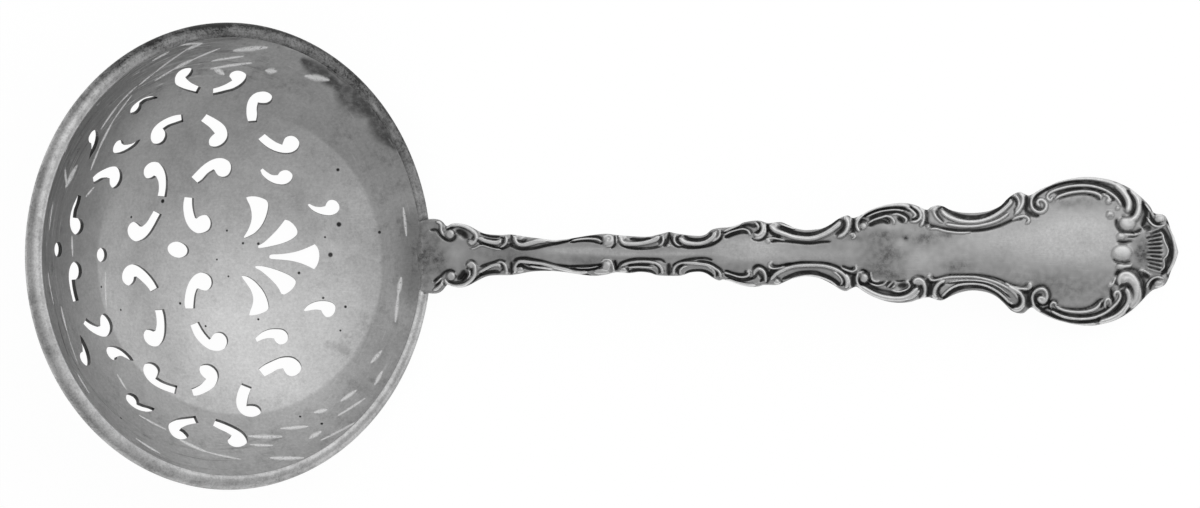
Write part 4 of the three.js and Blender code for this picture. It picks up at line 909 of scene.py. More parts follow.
# Raised crests of the borders, as pixels: half width, then the points of the curve
CRESTS_PX = [
    # Upper border, from the root to the tip
    (1.6, [(436, 222), (440, 224), (441, 231), (443, 235.5)]),
    (2, [(446.5, 228), (449.5, 225.3), (454, 224.8), (459, 225), (464, 226.5), (469, 229), (473, 232),
         (475.5, 236), (475, 240), (471.5, 243.5), (468.5, 242.5)]),
    (1, [(470, 249), (475, 248), (479, 245.8), (483, 245.5), (488, 247), (494, 248.7), (500, 249.5)]),
    (2.2, [(478, 238.5), (484, 240.5), (490, 242), (496, 242.7), (500, 242)]),
    (1.5, [(505.5, 236.5), (506, 241), (504, 245), (500, 247.3)]),
    (2.3, [(514, 237), (516, 242), (519.5, 244.3), (525, 244.6), (531, 243.3), (538, 241.5), (546, 240.5)]),
    (1.5, [(546, 240.5), (554, 241), (562, 239.8), (570, 238.8)]),
    (1, [(572, 240.8), (577, 239.8), (583, 239), (590, 238.7), (597, 239.5), (601, 241.5)]),
    (1, [(603, 244), (604, 239), (607, 235.5), (611.5, 237), (613, 241), (611, 245.5), (606, 246.5)]),
    (1, [(616, 237), (616.5, 243)]),
    (2.2, [(619.5, 236), (621, 241), (625, 243.6), (632, 244), (640, 243.5), (648, 242), (655, 240),
           (659, 237)]),
    (1.3, [(662, 235), (663, 240), (661.5, 244), (658, 246)]),
    (1.2, [(675, 234.5), (673.8, 240), (676, 244), (680, 246)]),
    (2.3, [(679.5, 238.5), (684, 242), (690, 243.3), (698, 243.8), (705, 242.3), (710, 239.5), (714, 236),
           (715.5, 232)]),
    (1.3, [(719, 229.5), (719.8, 234), (717.5, 238), (712.5, 241.5)]),
    (1.2, [(724, 231.5), (730, 229), (735, 226.8), (741, 223.5)]),
    (1.2, [(724, 235), (730, 232), (737, 229.8), (743, 229), (748, 231), (750, 235)]),
    (1.8, [(761, 223), (762.5, 228), (761, 233), (757.5, 235.5), (754, 234)]),
    (1.2, [(754.5, 222), (758, 226), (757.5, 229.5)]),
    (1.5, [(764, 224), (765.3, 229), (764, 234), (760, 237.8), (754, 238.3)]),
    (1, [(765, 240), (768, 238.5), (773, 238), (778, 239), (784, 240.3)]),
    (2.6, [(770, 226), (774, 230), (779, 232), (785, 234), (794, 237), (805, 238.4), (813, 238), (821, 235.5),
           (829, 231.5), (836, 226.5), (840, 223)]),
    (1, [(780, 224), (787, 226.5), (795, 229)]),
    (2.2, [(845, 217), (847.8, 222), (847.3, 228), (844, 233.5), (838, 237)]),
    (1, [(850, 217), (850.8, 224), (849, 230)]),
    (1, [(849, 234.5), (852.5, 233.5), (855, 236.5), (852, 239)]),
    (2, [(859, 231), (856.7, 226), (857.3, 221), (860.5, 216), (866, 212), (874, 208.3), (884, 205.8),
         (894, 204.8), (903, 205), (909, 207)]),
    (1, [(866, 217), (875, 213), (885, 210.5), (896, 209.7), (904, 211)]),
    (1.5, [(905, 206.8), (910, 209.3), (914, 212.8), (915.5, 215.3), (912.5, 217.8)]),
    (1.5, [(912, 206), (917, 209), (920, 213), (920, 218), (916, 221.3), (911, 221.5)]),
    (1.8, [(920, 208), (923.5, 213), (923.5, 220), (920.5, 226)]),
    (1.2, [(868, 223), (874, 219.7), (881, 217.5), (886, 216), (891, 217.5), (893.7, 221), (894, 224)]),
    (1.2, [(892, 214.5), (897, 214), (902, 216), (906, 219), (905, 222.8)]),
    (1.3, [(933, 207), (934, 213), (937, 218), (942, 222.5)]),
    (2, [(941.5, 211), (946, 215.3), (952, 218.3), (960, 220.8), (970, 221.7), (980, 220.8), (990, 217.8),
         (999, 213), (1006, 207.5), (1010.5, 202.5), (1010.3, 199.8)]),
    (1.3, [(1014, 194.7), (1018, 199), (1018.3, 205), (1015, 211)]),
    (2, [(1019, 192.3), (1022.5, 196), (1022.5, 203), (1019.5, 209), (1015, 214)]),
    (1.5, [(946, 224), (960, 226), (975, 226), (990, 223), (1000, 219), (1008, 213.5)]),
    (1, [(930, 229), (936, 228.5), (944, 230.7), (952, 232), (960, 232.6), (970, 232.2)]),
    (1.3, [(1012, 219.5), (1018, 217.3), (1024, 216), (1028, 218), (1028.6, 221.3), (1026, 223)]),
    (1.6, [(1125, 190), (1118, 186), (1110, 182.3), (1100, 179.8), (1090, 178.5), (1080, 178.5),
           (1070, 179.3), (1060, 181.3), (1050, 185.3), (1042, 189), (1035, 193.5), (1031.5, 200),
           (1031.8, 207), (1036, 211.3), (1041, 212), (1045.2, 209), (1046, 204), (1043, 200.2),
           (1039, 199.8), (1037.2, 203), (1039.5, 206)]),
    (1.3, [(1052.5, 197), (1050, 200.3), (1047.3, 198), (1048, 194.3), (1053, 191), (1061, 188.3),
           (1070, 186.3), (1082, 185.3), (1093, 186.3), (1104, 189.7), (1112, 194.3), (1118, 200),
           (1121, 205.5)]),
    (1.4, [(1055.5, 199), (1058, 196.8), (1064, 194.3), (1073, 192.2), (1084, 191.3), (1094, 192.5),
           (1100, 195.5), (1101, 199)]),
    (1.3, [(1102.5, 193.5), (1107.5, 196), (1111.5, 200.5)]),
    (3.2, [(1116, 184.5), (1122, 190), (1127, 197), (1129, 204), (1127.5, 211)]),
    (3.1, [(1131, 190), (1136.5, 197), (1138.7, 204), (1138.3, 211), (1135.5, 217), (1131, 220)]),
    # Lower border, from the root to the tip
    (1.2, [(435, 283.5), (438, 281), (440.5, 278)]),
    (1.6, [(433, 290), (437, 288), (441, 284), (442, 281)]),
    (1, [(468.5, 270), (469.5, 274), (467, 279)]),
    (2, [(444.5, 280), (448, 284), (455, 286), (463, 285), (470, 280.5), (474, 275), (474.5, 269),
         (473.5, 264.5), (469.8, 262.5), (466.8, 265)]),
    (1.8, [(479, 272.2), (486, 268.3), (492.2, 265.2), (498.3, 264.5), (499.8, 266.4)]),
    (1.5, [(497, 262), (501, 262), (504.5, 265), (506, 269.5), (506.5, 273.5)]),
    (2, [(514.5, 272), (514.5, 267.5), (517, 263), (521, 261.5), (530, 262.3), (541.7, 263.5), (550.9, 265.8),
         (561.7, 268.5), (571, 271), (580.2, 272.2), (586.3, 271.8)]),
    (1.2, [(530, 266), (541, 267.5), (552, 269)]),
    (0.8, [(575, 267.8), (582, 268.3), (590, 267.8), (597, 266.5)]),
    (1.2, [(601, 262), (604, 259.8), (608, 259.8), (611.5, 262.5), (613, 267), (613.5, 272)]),
    (1.5, [(621, 266), (626, 263.5), (634, 262), (642, 261.5), (650, 262), (657, 264), (661, 268),
           (662.5, 273)]),
    (1, [(628, 267.3), (640, 266.8), (652, 267.5)]),
    (1.5, [(673.5, 273.5), (673.5, 269.5), (676, 265.5), (681, 263.2), (690, 262.8), (700, 263.5), (708, 265),
           (714, 268), (718.8, 272), (721, 277.5)]),
    (1, [(680, 274), (680, 270), (683, 267), (687, 266)]),
    (0.9, [(708, 266.5), (712.5, 269.5), (714.5, 273.5), (714.5, 277)]),
    (1.3, [(724.3, 272.2), (732.8, 275.2), (740.5, 277.2), (747.4, 276), (749, 272.2)]),
    (1.6, [(727, 279.5), (735, 282.3), (745, 284.5), (755, 285)]),
    (1.8, [(754, 274.5), (754.8, 270.8), (758.5, 268.5), (762.8, 270.5), (765.3, 275.5), (765.5, 281)]),
    (1.2, [(768.5, 263), (769, 267), (773, 268.8), (779, 268), (784, 266.5)]),
    (2, [(771, 279), (776, 273.5), (783, 269.5), (792, 266.5), (802, 265.3), (813, 265), (824, 265.8),
         (833, 268.3), (840, 272), (845, 277), (847, 283), (846, 287)]),
    (1, [(790, 279), (800, 276.5), (810, 275.3), (820, 277), (830, 281), (837, 286)]),
    (1, [(833, 271.5), (839, 276), (842, 281.5), (840.5, 285)]),
    (1.5, [(846, 274), (849, 280), (849.5, 287)]),
    (1.1, [(841, 267.8), (846, 270), (852, 271.5), (856, 269.5), (855.5, 266)]),
    (1.5, [(863, 271.5), (858, 273), (856.8, 277), (857, 282), (859.5, 286.5), (863, 289)]),
    (0.9, [(870.6, 273), (871.3, 278), (873.5, 281), (879, 281.5)]),
    (1, [(869.5, 283), (873.4, 284.8), (878, 285.6), (882.6, 284.5), (885, 283), (886.5, 281.4)]),
    (1, [(886.8, 287.5), (889.5, 285), (891.8, 283)]),
    (1, [(891, 288.3), (893.5, 286.5), (895.3, 284.5)]),
    (1, [(907, 281.5), (909.3, 284.5), (909, 287.5), (906, 289.8), (901, 291.5), (896, 291.6), (891.5, 290)]),
    (2.6, [(860, 286), (866, 289.8), (873.5, 293.8), (881, 296.5), (889, 298), (896, 298.5), (903, 298),
           (909, 295.5), (913.5, 292), (917, 288.3)]),
    (1.2, [(906, 299.3), (912, 297.3), (916.5, 294), (919.3, 290.5)]),
    (2.2, [(914, 283.5), (914.5, 280), (918, 278.8), (922, 280.8), (924.3, 285), (925, 290.5), (923.8, 295),
           (921, 298)]),
    (1.2, [(928.5, 276.5), (930.5, 280), (935, 280.5), (940, 279), (946, 277.5), (955, 276.8), (966, 276.6),
           (975, 277), (984, 278.8), (993, 281.2), (1001, 284.5), (1009, 289), (1015, 294), (1017.6, 298.5)]),
    (2.2, [(944, 281), (940, 282.3), (936.5, 286), (934.3, 290.5), (934, 295), (936, 298.5)]),
    (1.3, [(942, 296), (945.5, 292.5), (950, 288.8), (955, 286.2), (961, 284.5), (970, 283.8), (978, 284.2),
           (985, 285.6), (991, 288), (998, 292), (1004, 297), (1009, 302), (1013.5, 304)]),
    (0.8, [(950, 282), (960, 280.6), (970, 280.3), (980, 281), (990, 283.3), (999, 287.5), (1007, 293.5)]),
    (1.2, [(1005, 283), (1011, 286), (1017, 288), (1023, 289), (1028, 289), (1031, 286.5), (1030.3, 283.5),
           (1028, 283.3)]),
    (2.2, [(1009, 286.8), (1015, 289.5), (1020, 293.5), (1022.9, 299), (1022.6, 304.5), (1018.5, 308.7),
           (1013, 309.2)]),
    (1.8, [(1040, 311), (1034.5, 307), (1032.4, 302), (1032, 297), (1033.7, 292.5), (1037.8, 289.2),
           (1043, 288.8), (1046.3, 292), (1047, 296.6), (1045.5, 301), (1042, 302.7), (1039, 300.8),
           (1039, 298), (1042, 297)]),
    (1, [(1051.3, 308.5), (1050.3, 305), (1052.8, 302.3), (1055.7, 304), (1055, 307)]),
    (1.3, [(1056, 306.5), (1061.5, 309.3), (1067.8, 311), (1075, 312), (1083, 312), (1090, 310.8),
           (1095, 308.8), (1098.7, 305.6), (1100.3, 302.5)]),
    (1.5, [(1051.5, 311), (1057, 314), (1064, 316.7), (1073, 318.5), (1083, 318.9), (1092, 318),
           (1099.5, 315.7), (1106, 312.3), (1112.5, 307.3), (1117.6, 302), (1120.3, 297), (1119.5, 292.8),
           (1116.7, 291.5), (1114.2, 293.8), (1114.8, 297)]),
    (1.2, [(1040, 312.5), (1050, 317.3), (1060, 321), (1072, 324), (1084, 324.6), (1096, 323.5)]),
    (1, [(1105.5, 308), (1104.5, 303.5), (1106.5, 299.5), (1109.5, 299.7), (1110.8, 303), (1109, 306.5)]),
    (3, [(1126.5, 289), (1128.8, 295), (1128.5, 302), (1124.5, 308.5), (1118, 314.5), (1110, 318.8),
         (1100, 321.8)]),
    (2.8, [(1119.5, 284), (1119, 278.5), (1122.5, 274.3), (1128, 273.8), (1133.5, 277.5), (1137.2, 284),
           (1138, 291.5), (1136, 299), (1131.5, 306)]),
    (4.2, [(1124.5, 279), (1129.5, 278.5), (1134.5, 283.5), (1136.8, 291), (1135.5, 299), (1131, 306)]),
    (1, [(1115.5, 276), (1114.3, 281), (1111.8, 285), (1109, 285.3)]),
    # Shell and the leaves beside it
    (1, [(1138, 270.3), (1143, 270.3), (1147, 272.5), (1151, 275.5)]),
    (1, [(1120, 234), (1128, 234.7), (1136, 234.3), (1140, 233)]),
    (1.7, [(1117.5, 267.4), (1124, 266.7), (1131, 265.8)]),
    (1.3, [(1147, 217.5), (1149.8, 222), (1154, 225.5), (1159.5, 226.5), (1164.5, 225)]),
    (1.3, [(1146.5, 287.5), (1148.5, 282.5), (1152.5, 278.6), (1157.5, 277), (1163, 278.5)]),
    (1, [(1144.5, 203.5), (1148.5, 209), (1150.5, 212)]),
    (0.9, [(1159.5, 231), (1162.6, 234.7), (1163.6, 239.3), (1165, 243), (1167.3, 247.5), (1168, 251),
           (1166.8, 255.6), (1163.6, 259.3), (1164.2, 263.8), (1163.4, 268.4), (1160, 271)]),
    (2, [(1167.5, 225), (1171, 231), (1173.5, 238.5), (1175, 246), (1175.2, 253), (1174, 260), (1171.3, 267),
         (1167.5, 273)]),
]

# Sunk grooves beside the crests, as pixels: half width, then the points of the curve
GROOVES_PX = [
    (1.1, [(430, 230), (436, 230), (440, 234.5), (444, 238.5), (449, 240.5), (453.5, 239), (455.5, 235)]),
    (0.8, [(446, 230), (450, 227.7), (454.5, 227.5)]),
    (0.9, [(473, 232), (473.3, 236), (470.5, 239.5)]),
    (3, [(457, 231), (462, 233), (466, 237)]),
    (1.1, [(478, 240), (481, 243), (487, 245), (493, 247), (500, 248.5), (505, 247), (510, 245), (512, 246),
           (517, 248), (522, 249), (530, 248.5), (537, 247.5), (545, 245.5), (560, 242.5), (568, 240.5),
           (575, 238.5), (582, 237.3), (590, 236.8), (598, 237), (602, 240), (603, 242), (600.5, 244)]),
    (0.9, [(500, 237.5), (503, 238.5), (503, 241), (501, 243.5)]),
    (1.1, [(480, 233.5), (490, 236.5), (499, 236.9)]),
    (0.8, [(483, 238), (492, 240), (497, 240)]),
    (1.2, [(511, 233), (511, 246)]),
    (0.9, [(516.5, 239.5), (519, 242), (523, 242), (526, 239)]),
    (0.8, [(570, 242.5), (578, 241), (585, 240.8), (592, 241.3), (600, 243.5)]),
    (0.8, [(607, 236), (609.5, 238), (608, 240.5)]),
    (0.9, [(614, 236), (615, 240), (614.5, 245), (611, 248)]),
    (0.9, [(617, 236), (618.5, 241), (621, 244.5), (624, 246.5)]),
    (1.5, [(630, 239), (640, 240), (650, 238.5)]),
    (1, [(624, 246.5), (632, 248), (640, 248.5), (650, 248), (656, 247), (661, 245)]),
    (0.9, [(659, 235.5), (660.5, 239), (658, 243)]),
    (1.6, [(669, 232), (668, 239), (664, 246)]),
    (1.1, [(669.5, 236), (671, 241), (675, 245), (680, 247)]),
    (0.9, [(681, 235), (677, 238), (678, 242), (682, 244.5)]),
    (1.5, [(684, 236), (690, 239.5), (700, 240), (707, 237.5), (711, 233)]),
    (0.9, [(714.5, 231.5), (716.5, 234.5), (715.5, 237.5)]),
    (1.1, [(680, 246), (690, 247.5), (700, 246.8), (710, 245), (716, 242), (720.5, 238), (721.5, 231)]),
    (1, [(723, 232.5), (728, 230.5), (735, 228.7), (742, 227.5), (748, 229), (752, 233)]),
    (1.6, [(725, 237), (733, 233.8), (740, 231.8), (745, 231.5), (747, 233)]),
    (1.6, [(742, 226), (748, 225), (755, 226.5)]),
    (1, [(756, 222), (760, 225), (760, 229), (757, 232), (754, 233)]),
    (1, [(767, 224.5), (767.3, 231), (765, 236.5), (760, 239.8), (752, 238.5)]),
    (1.4, [(767.5, 225), (769, 230), (775, 235), (780, 237)]),
    (1, [(771, 241.8), (777, 240.5), (785, 241), (795, 242), (805, 243), (812, 243), (820, 242),
         (830, 241.5)]),
    (1.8, [(780, 227), (787, 230), (795, 233), (805, 234.5), (815, 233.5), (825, 229.5), (832, 225),
           (838, 220)]),
    (1, [(838, 219), (842.5, 221), (843.5, 226), (841, 230), (835.5, 234.5)]),
    (1.5, [(853, 217), (853, 235)]),
    (1, [(866.5, 221), (862, 220), (858.8, 223), (858.8, 227), (861, 229.8)]),
    (1.1, [(863, 217), (870, 213), (880, 209.3), (890, 207.8), (897, 207.3), (905, 208.5), (910, 211)]),
    (1.1, [(869, 219), (880, 214), (888, 212.5), (896, 212), (903, 213.5), (908, 217), (909, 221)]),
    (1, [(908, 206), (913, 208.3), (917, 212), (917.5, 216), (914.5, 218.5), (911, 219.8)]),
    (1.5, [(869, 225.5), (876, 222.3), (883, 221), (888, 223)]),
    (1, [(884, 218.5), (888, 219.5), (890, 223)]),
    (2, [(898, 218), (901, 220), (902, 222)]),
    (1.5, [(926, 208), (926, 227)]),
    (1, [(942.5, 206.5), (938, 209.5), (937, 213.5), (939, 217.5), (943, 221.5)]),
    (2, [(943, 207.5), (950, 212), (957, 215), (964, 217), (972, 217.8), (980, 217), (990, 214), (1000, 208),
         (1006, 202), (1010, 198)]),
    (1, [(1009, 197.5), (1013, 198), (1016.5, 202), (1016.5, 207), (1014, 210.5)]),
    (1.2, [(927, 223), (932, 226), (940, 228), (950, 229.5), (960, 230.5), (970, 230.5), (980, 230),
           (990, 228.3), (1000, 225.3), (1008, 221.8), (1014, 219.3), (1022, 218.3)]),
    (1.5, [(1026, 195), (1027, 203), (1026, 210), (1031, 214), (1038, 216)]),
    (1, [(1056, 185), (1048, 188), (1041, 192.5), (1036, 196.5), (1033.3, 200.5), (1034, 205),
         (1037.5, 208.7), (1041.5, 208.5)]),
    (1.2, [(1045, 190), (1052, 186.5), (1060, 184), (1070, 182), (1082, 181.5), (1093, 182.3), (1104, 185.3),
           (1112, 189.3), (1119, 195.3), (1123, 201.5), (1125, 208)]),
    (1.1, [(1055, 193.5), (1063, 190.7), (1072, 188.5), (1084, 188), (1094, 189), (1103, 192), (1110, 196.7),
           (1114, 201)]),
    (1, [(1057, 199), (1064, 196.5), (1073, 194.7), (1084, 193.8), (1093, 195.5), (1100, 200)]),
    (1.1, [(1127, 190.5), (1131, 195), (1134.5, 201), (1135, 208), (1132, 214), (1127, 217), (1122, 216.3)]),
    # Lower border
    (1, [(433, 281.5), (437, 278.5), (440.2, 276), (444.5, 271.8), (449.8, 270.2), (454.5, 272)]),
    (0.8, [(434, 287), (438, 283.5), (440.5, 281)]),
    (0.9, [(442, 282), (444, 284), (446.5, 287)]),
    (1.4, [(446.2, 279.5), (449, 282.5), (455.2, 283.3), (459.8, 281.4), (463.7, 278.3), (466, 273.7)]),
    (3, [(458, 279), (462, 275), (464, 271)]),
    (1.1, [(466, 269.1), (468.3, 267.5), (470.6, 270.6), (471.4, 275.2)]),
    (0.9, [(465.2, 264.5), (469, 261.4), (472.2, 261), (476, 264.5)]),
    (1, [(466, 285.2), (472.2, 281.4), (476.8, 277.5), (481.4, 274.5)]),
    (1.8, [(480, 274.5), (487, 272.5), (494, 271.5), (499, 272)]),
    (1, [(479.8, 266.8), (486, 264.5), (491.4, 263), (499, 260.6), (504.5, 261.4)]),
    (0.9, [(497, 263.7), (500, 263.7), (502.3, 266), (502.3, 269), (500.5, 271)]),
    (1.3, [(511, 262), (510.8, 274)]),
    (1.2, [(516.4, 266.8), (519.8, 264.9), (523.7, 266.4), (528.3, 268.7), (535, 269.3), (542, 269.8),
           (550, 270.5)]),
    (0.8, [(525, 264), (541, 266)]),
    (1.1, [(513, 261.4), (516.8, 259), (524.5, 258), (534, 259.8), (541, 261.3), (547, 263), (553.2, 264.8),
           (560.2, 265.8), (570, 266.5), (580, 266.2), (590, 265.8), (600, 264.8), (602.5, 264)]),
    (1.1, [(569.4, 268.3), (575.5, 269.7), (583.2, 270), (590.9, 269), (597, 267.5), (601.7, 265.2)]),
    (0.7, [(580, 273.5), (590, 275)]),
    (1.8, [(614.5, 261), (616, 269.5)]),
    (1, [(612, 261), (616, 268), (619.4, 263.7), (624.8, 261.4), (634, 259), (649.4, 259), (660, 259.5),
         (665, 262.5)]),
    (0.7, [(627, 265.5), (635, 264.7), (650, 264.8)]),
    (1.1, [(627, 268), (629.5, 273)]),
    (1.5, [(629.5, 271), (636, 270), (645, 270.2), (650, 271), (655.5, 273.5)]),
    (1, [(653.5, 263.7), (657.4, 266), (659.3, 269.8), (658.5, 273.7)]),
    (2, [(668.5, 264), (668.5, 275)]),
    (1, [(672, 266), (676, 263.5), (682, 261), (688, 259.5), (697, 258.5), (705, 258.3), (712, 260)]),
    (1, [(683, 264), (678.5, 267), (677, 270.5), (678.5, 274.5)]),
    (1, [(714.3, 267.5), (717, 271.4), (716.6, 276)]),
    (1.5, [(685, 273), (691.2, 270.6), (700.5, 270.2), (707.4, 272), (712.8, 276)]),
    (1, [(697, 261), (707.4, 262.2), (712.8, 264.5), (719, 268.3), (722.8, 272.2)]),
    (1.2, [(725, 270.6), (731.2, 273), (738.2, 274.5), (744.3, 274), (745.5, 270.6)]),
    (1.3, [(725, 274.8), (731.2, 276.8), (738.9, 279.5), (745.8, 279.5), (751.2, 278.3)]),
    (1.2, [(752.3, 270.6), (754.6, 266.8), (758.5, 265.6), (763, 267.5), (767, 271.4), (767.7, 277.5),
           (766.5, 283)]),
    (1.2, [(754.6, 275.2), (757.7, 273.3), (761.5, 276.8), (762.3, 279), (760, 281.4)]),
    (1.2, [(751, 279), (756, 276)]),
    (1.1, [(772.3, 263.7), (773.5, 265.6), (778.5, 266.2), (784.6, 264.8), (791.5, 264)]),
    (1.1, [(783.8, 265.6), (790, 264.5), (800, 262.8), (810, 262.8), (823.8, 263.3), (833.8, 265.6),
           (840.8, 269), (846.2, 272.2), (850, 274), (855.4, 274.5), (860, 271.8), (865.4, 271.4)]),
    (2, [(769.5, 276), (771, 272), (776, 269.5), (782.3, 267.5)]),
    (1.5, [(782.3, 279), (790, 276), (797.7, 273.3), (805.4, 272.3), (815.4, 272.5), (821.5, 274.5),
           (829.2, 277.5), (835.4, 281.4), (840, 285.2)]),
    (1.1, [(777, 277.5), (782.3, 282.2)]),
    (1.1, [(837, 271), (841.5, 275.2), (844.2, 279.8), (843.5, 283.7), (840.8, 285.6)]),
    (1.2, [(842.3, 266), (846.2, 268), (850.8, 268.9), (853, 267.2)]),
    (1.8, [(852.8, 276), (853, 288)]),
    (1.2, [(860.8, 276), (858.8, 279.8), (860.8, 283.7), (865.4, 285.2)]),
    (1.1, [(859.5, 271), (863, 270.3), (866.5, 271.8), (869.2, 275.2), (869.6, 279), (868, 283),
           (865, 284.2)]),
    (1.1, [(869.5, 280.6), (871.8, 282.5), (876.5, 283.7), (881, 283.3), (884.2, 281.8)]),
    (1.5, [(866.5, 284), (869.5, 285.6), (873.4, 287.9), (878, 289.8), (883.4, 291.4), (888.8, 292.2),
           (893.4, 293.7), (898, 294), (902.6, 293), (907.2, 291), (911, 287.5), (911.5, 283.5),
           (910.5, 281.4)]),
    (0.9, [(885.5, 286.5), (888, 283), (891, 281)]),
    (0.9, [(889, 288.5), (891.5, 285.5), (893.5, 283)]),
    (3, [(899, 286), (905.5, 285.5)]),
    (0.9, [(895, 280.8), (900, 281.3), (905, 280)]),
    (1.3, [(913, 286.5), (917, 285.5), (920.5, 287.3), (922.3, 290.5), (922, 294), (919.5, 297)]),
    (1.1, [(911, 281), (913.4, 278.7), (917.2, 276.8), (921, 276.8), (924.5, 278.3)]),
    (2.6, [(927.5, 279.5), (930, 284), (929.3, 289), (927.5, 295.5)]),
    (0.9, [(932.5, 275.5), (934, 277.8), (938, 277.8), (943, 276.5), (950, 275), (960, 274.8), (966, 274.8),
           (975, 274.8), (984, 275.6), (993.3, 277.5), (1000, 279.7), (1006, 282.3), (1011.5, 284.4),
           (1017, 286), (1021, 286.6), (1025, 285.8), (1026, 284)]),
    (1.2, [(929.5, 281.5), (934, 282), (939, 280.7), (943, 279.7)]),
    (1.1, [(944.2, 283.3), (940.3, 286), (938.4, 289), (938, 292.5), (940, 296), (943.5, 298.3)]),
    (2, [(943.5, 298.3), (947, 295), (951, 292), (956, 289.3), (962, 287.4), (970, 286.5), (978, 286.4),
         (984, 287.3), (990, 289.5), (997, 293.5), (1002.4, 298), (1007, 302.5), (1010, 305)]),
    (0.7, [(946, 283.5), (955, 282.8), (965, 282), (975, 282), (985, 283), (994, 286), (1003, 291.5),
           (1010, 298)]),
    (1.2, [(1009, 304.5), (1011.5, 306.3), (1014.5, 306.3), (1018.3, 304), (1020, 300.2), (1019.7, 296.5),
           (1017.5, 294)]),
    (2.8, [(1024.5, 291.5), (1028.5, 294.5), (1029.5, 299), (1029, 304), (1029.5, 308)]),
    (1, [(1011, 286.8), (1017, 289.3), (1022, 290.8), (1026, 291.5), (1031, 290.5), (1033, 288)]),
    (1.2, [(1032, 291.5), (1035, 288), (1038.7, 286.2), (1043.3, 286.2), (1047, 288.6), (1049, 292.5),
           (1049.3, 297), (1048, 302), (1045.5, 304.5), (1042, 305), (1038.7, 303.7), (1036.2, 301),
           (1035.8, 297.8), (1038, 295.2), (1041.5, 294.5)]),
    (1.6, [(1036.5, 304.5), (1040, 308), (1046, 312.5), (1053, 316), (1060, 318.9), (1068, 321),
           (1076, 321.9), (1084, 322.1), (1093, 321), (1099, 319.2), (1105, 317), (1110.4, 314.3),
           (1116, 310.2), (1120.4, 304.7), (1123, 299.3), (1123.5, 293.8), (1122.3, 290)]),
    (1.4, [(1043, 309), (1047.5, 307.5), (1050, 309)]),
    (1.2, [(1050, 307.8), (1055, 310.3), (1060.5, 312.5), (1066, 314.3), (1073.3, 315.6), (1083, 316),
           (1092, 314.7), (1098.5, 312.8), (1105, 309.5), (1110, 305), (1113.5, 300)]),
    (1.1, [(1054, 305.5), (1060.5, 307.6), (1066, 308.8), (1073, 309.3), (1083, 308.8), (1090.4, 306.5),
           (1095, 303.6), (1099, 300.2), (1103, 298.6)]),
    (0.9, [(1048.5, 308), (1048.5, 303.5), (1051, 300.5), (1055, 300.5), (1057.5, 303.5)]),
    (1, [(1100.5, 308.5), (1102.3, 304.5), (1104, 301)]),
    (1.3, [(1111, 289), (1111.5, 295), (1113.5, 300.5)]),
    (0.8, [(1126.8, 292), (1126.6, 298), (1124.5, 304), (1119.5, 310), (1112, 315.5)]),
    (1.6, [(1119.5, 287.6), (1124, 285), (1128.5, 286.6), (1132.2, 291), (1133.2, 296.5), (1132.2, 302),
           (1129.5, 307.4), (1126, 312.5)]),
    (1.6, [(1116.8, 284.5), (1116, 279), (1116.3, 274.5), (1119, 271), (1124, 269.3), (1130, 268.8),
           (1136, 270.5), (1140, 275), (1143, 281), (1144, 287), (1143.8, 293), (1142.5, 299)]),
    # Shell and the leaves beside it
    (3, [(1143, 274), (1148, 277)]),
    (1.3, [(1116.2, 219.5), (1116.8, 225), (1119.5, 229.5), (1124, 232.3), (1130, 233), (1136, 232),
           (1141, 229)]),
    (1.3, [(1117.5, 241.5), (1124, 242), (1131.5, 241)]),
    (0.8, [(1128, 237.3), (1134, 236.8), (1138, 235.8)]),
    (1.1, [(1113, 258.5), (1116, 261.3), (1122, 262.5), (1130, 261.8)]),
    (0.9, [(1107.5, 217), (1110, 216.2), (1112.5, 217)]),
    (2.2, [(1142, 202), (1145, 208.5), (1146, 214), (1144.5, 220), (1142.5, 226)]),
    (2.6, [(1144, 227.5), (1150, 227.8)]),
    (1.1, [(1149.5, 213.5), (1151, 218), (1154, 221.8), (1157.5, 223.5), (1160.5, 222)]),
    (1.1, [(1149.5, 290), (1151, 285), (1154, 281), (1157.5, 279.8), (1160, 281)]),
    (1.8, [(1160, 229.8), (1163.5, 231.5), (1166.3, 236), (1169, 242), (1170.6, 247.5), (1170.8, 253),
           (1169.3, 258.5), (1166.8, 263.5), (1165, 269.5), (1161.5, 274)]),
    (1, [(1166.5, 221.5), (1168.3, 225.5)]),
    (1, [(1166.5, 274.5), (1168.5, 278.5)]),
    (0.9, [(1153.5, 212), (1155, 215.5)]),
]

# Raised balls and lobes, as pixels: centre and half axes
BALLS_PX = [
    (449.5, 234, 5, 5), (470, 242, 3.2, 3.2), (519.5, 237, 4.5, 3.5), (607.5, 240.5, 6, 6),
    (623, 237.5, 3, 3), (668, 245.5, 2, 2), (768, 241, 2.5, 2.5), (774, 226, 4, 3.5), (863, 226, 3.8, 3.8),
    (934, 209, 3.5, 3.5), (927.5, 226, 2.5, 2.5), (1110, 214.5, 4, 4), (1108.5, 201, 3, 3),
    (1117.5, 208, 2, 2), (1127.5, 223, 8.6, 7.6), (1159, 218.5, 5, 4.6), (450.5, 276, 5, 5),
    (469.5, 266, 3.2, 3), (519.8, 269.5, 3.6, 3.2), (606, 265.5, 5, 5), (601, 271.5, 8, 3),
    (623, 270, 3.5, 3), (747.5, 271.5, 1.8, 1.8), (755.5, 271.5, 2.5, 2.5), (770, 263.3, 2, 2),
    (777, 281.5, 3.3, 3), (853, 234.5, 2.6, 2.6), (863.7, 278, 4.6, 5), (906.5, 282.2, 1.8, 1.8),
    (918, 282.5, 4.2, 4), (928.6, 276.5, 2.4, 2.6), (1042.5, 299.5, 3.4, 3.4), (1028.8, 285.8, 2, 2),
    (1123, 279, 5, 5.4), (1158.5, 283.5, 4.8, 4.4), (1121.7, 252.9, 10.6, 8.4), (1121, 236, 4.5, 3.6),
    (1120.5, 266.7, 5, 3.6), (500, 240.5, 1.5, 1.5), (1110, 285, 2.6, 2.6),
]

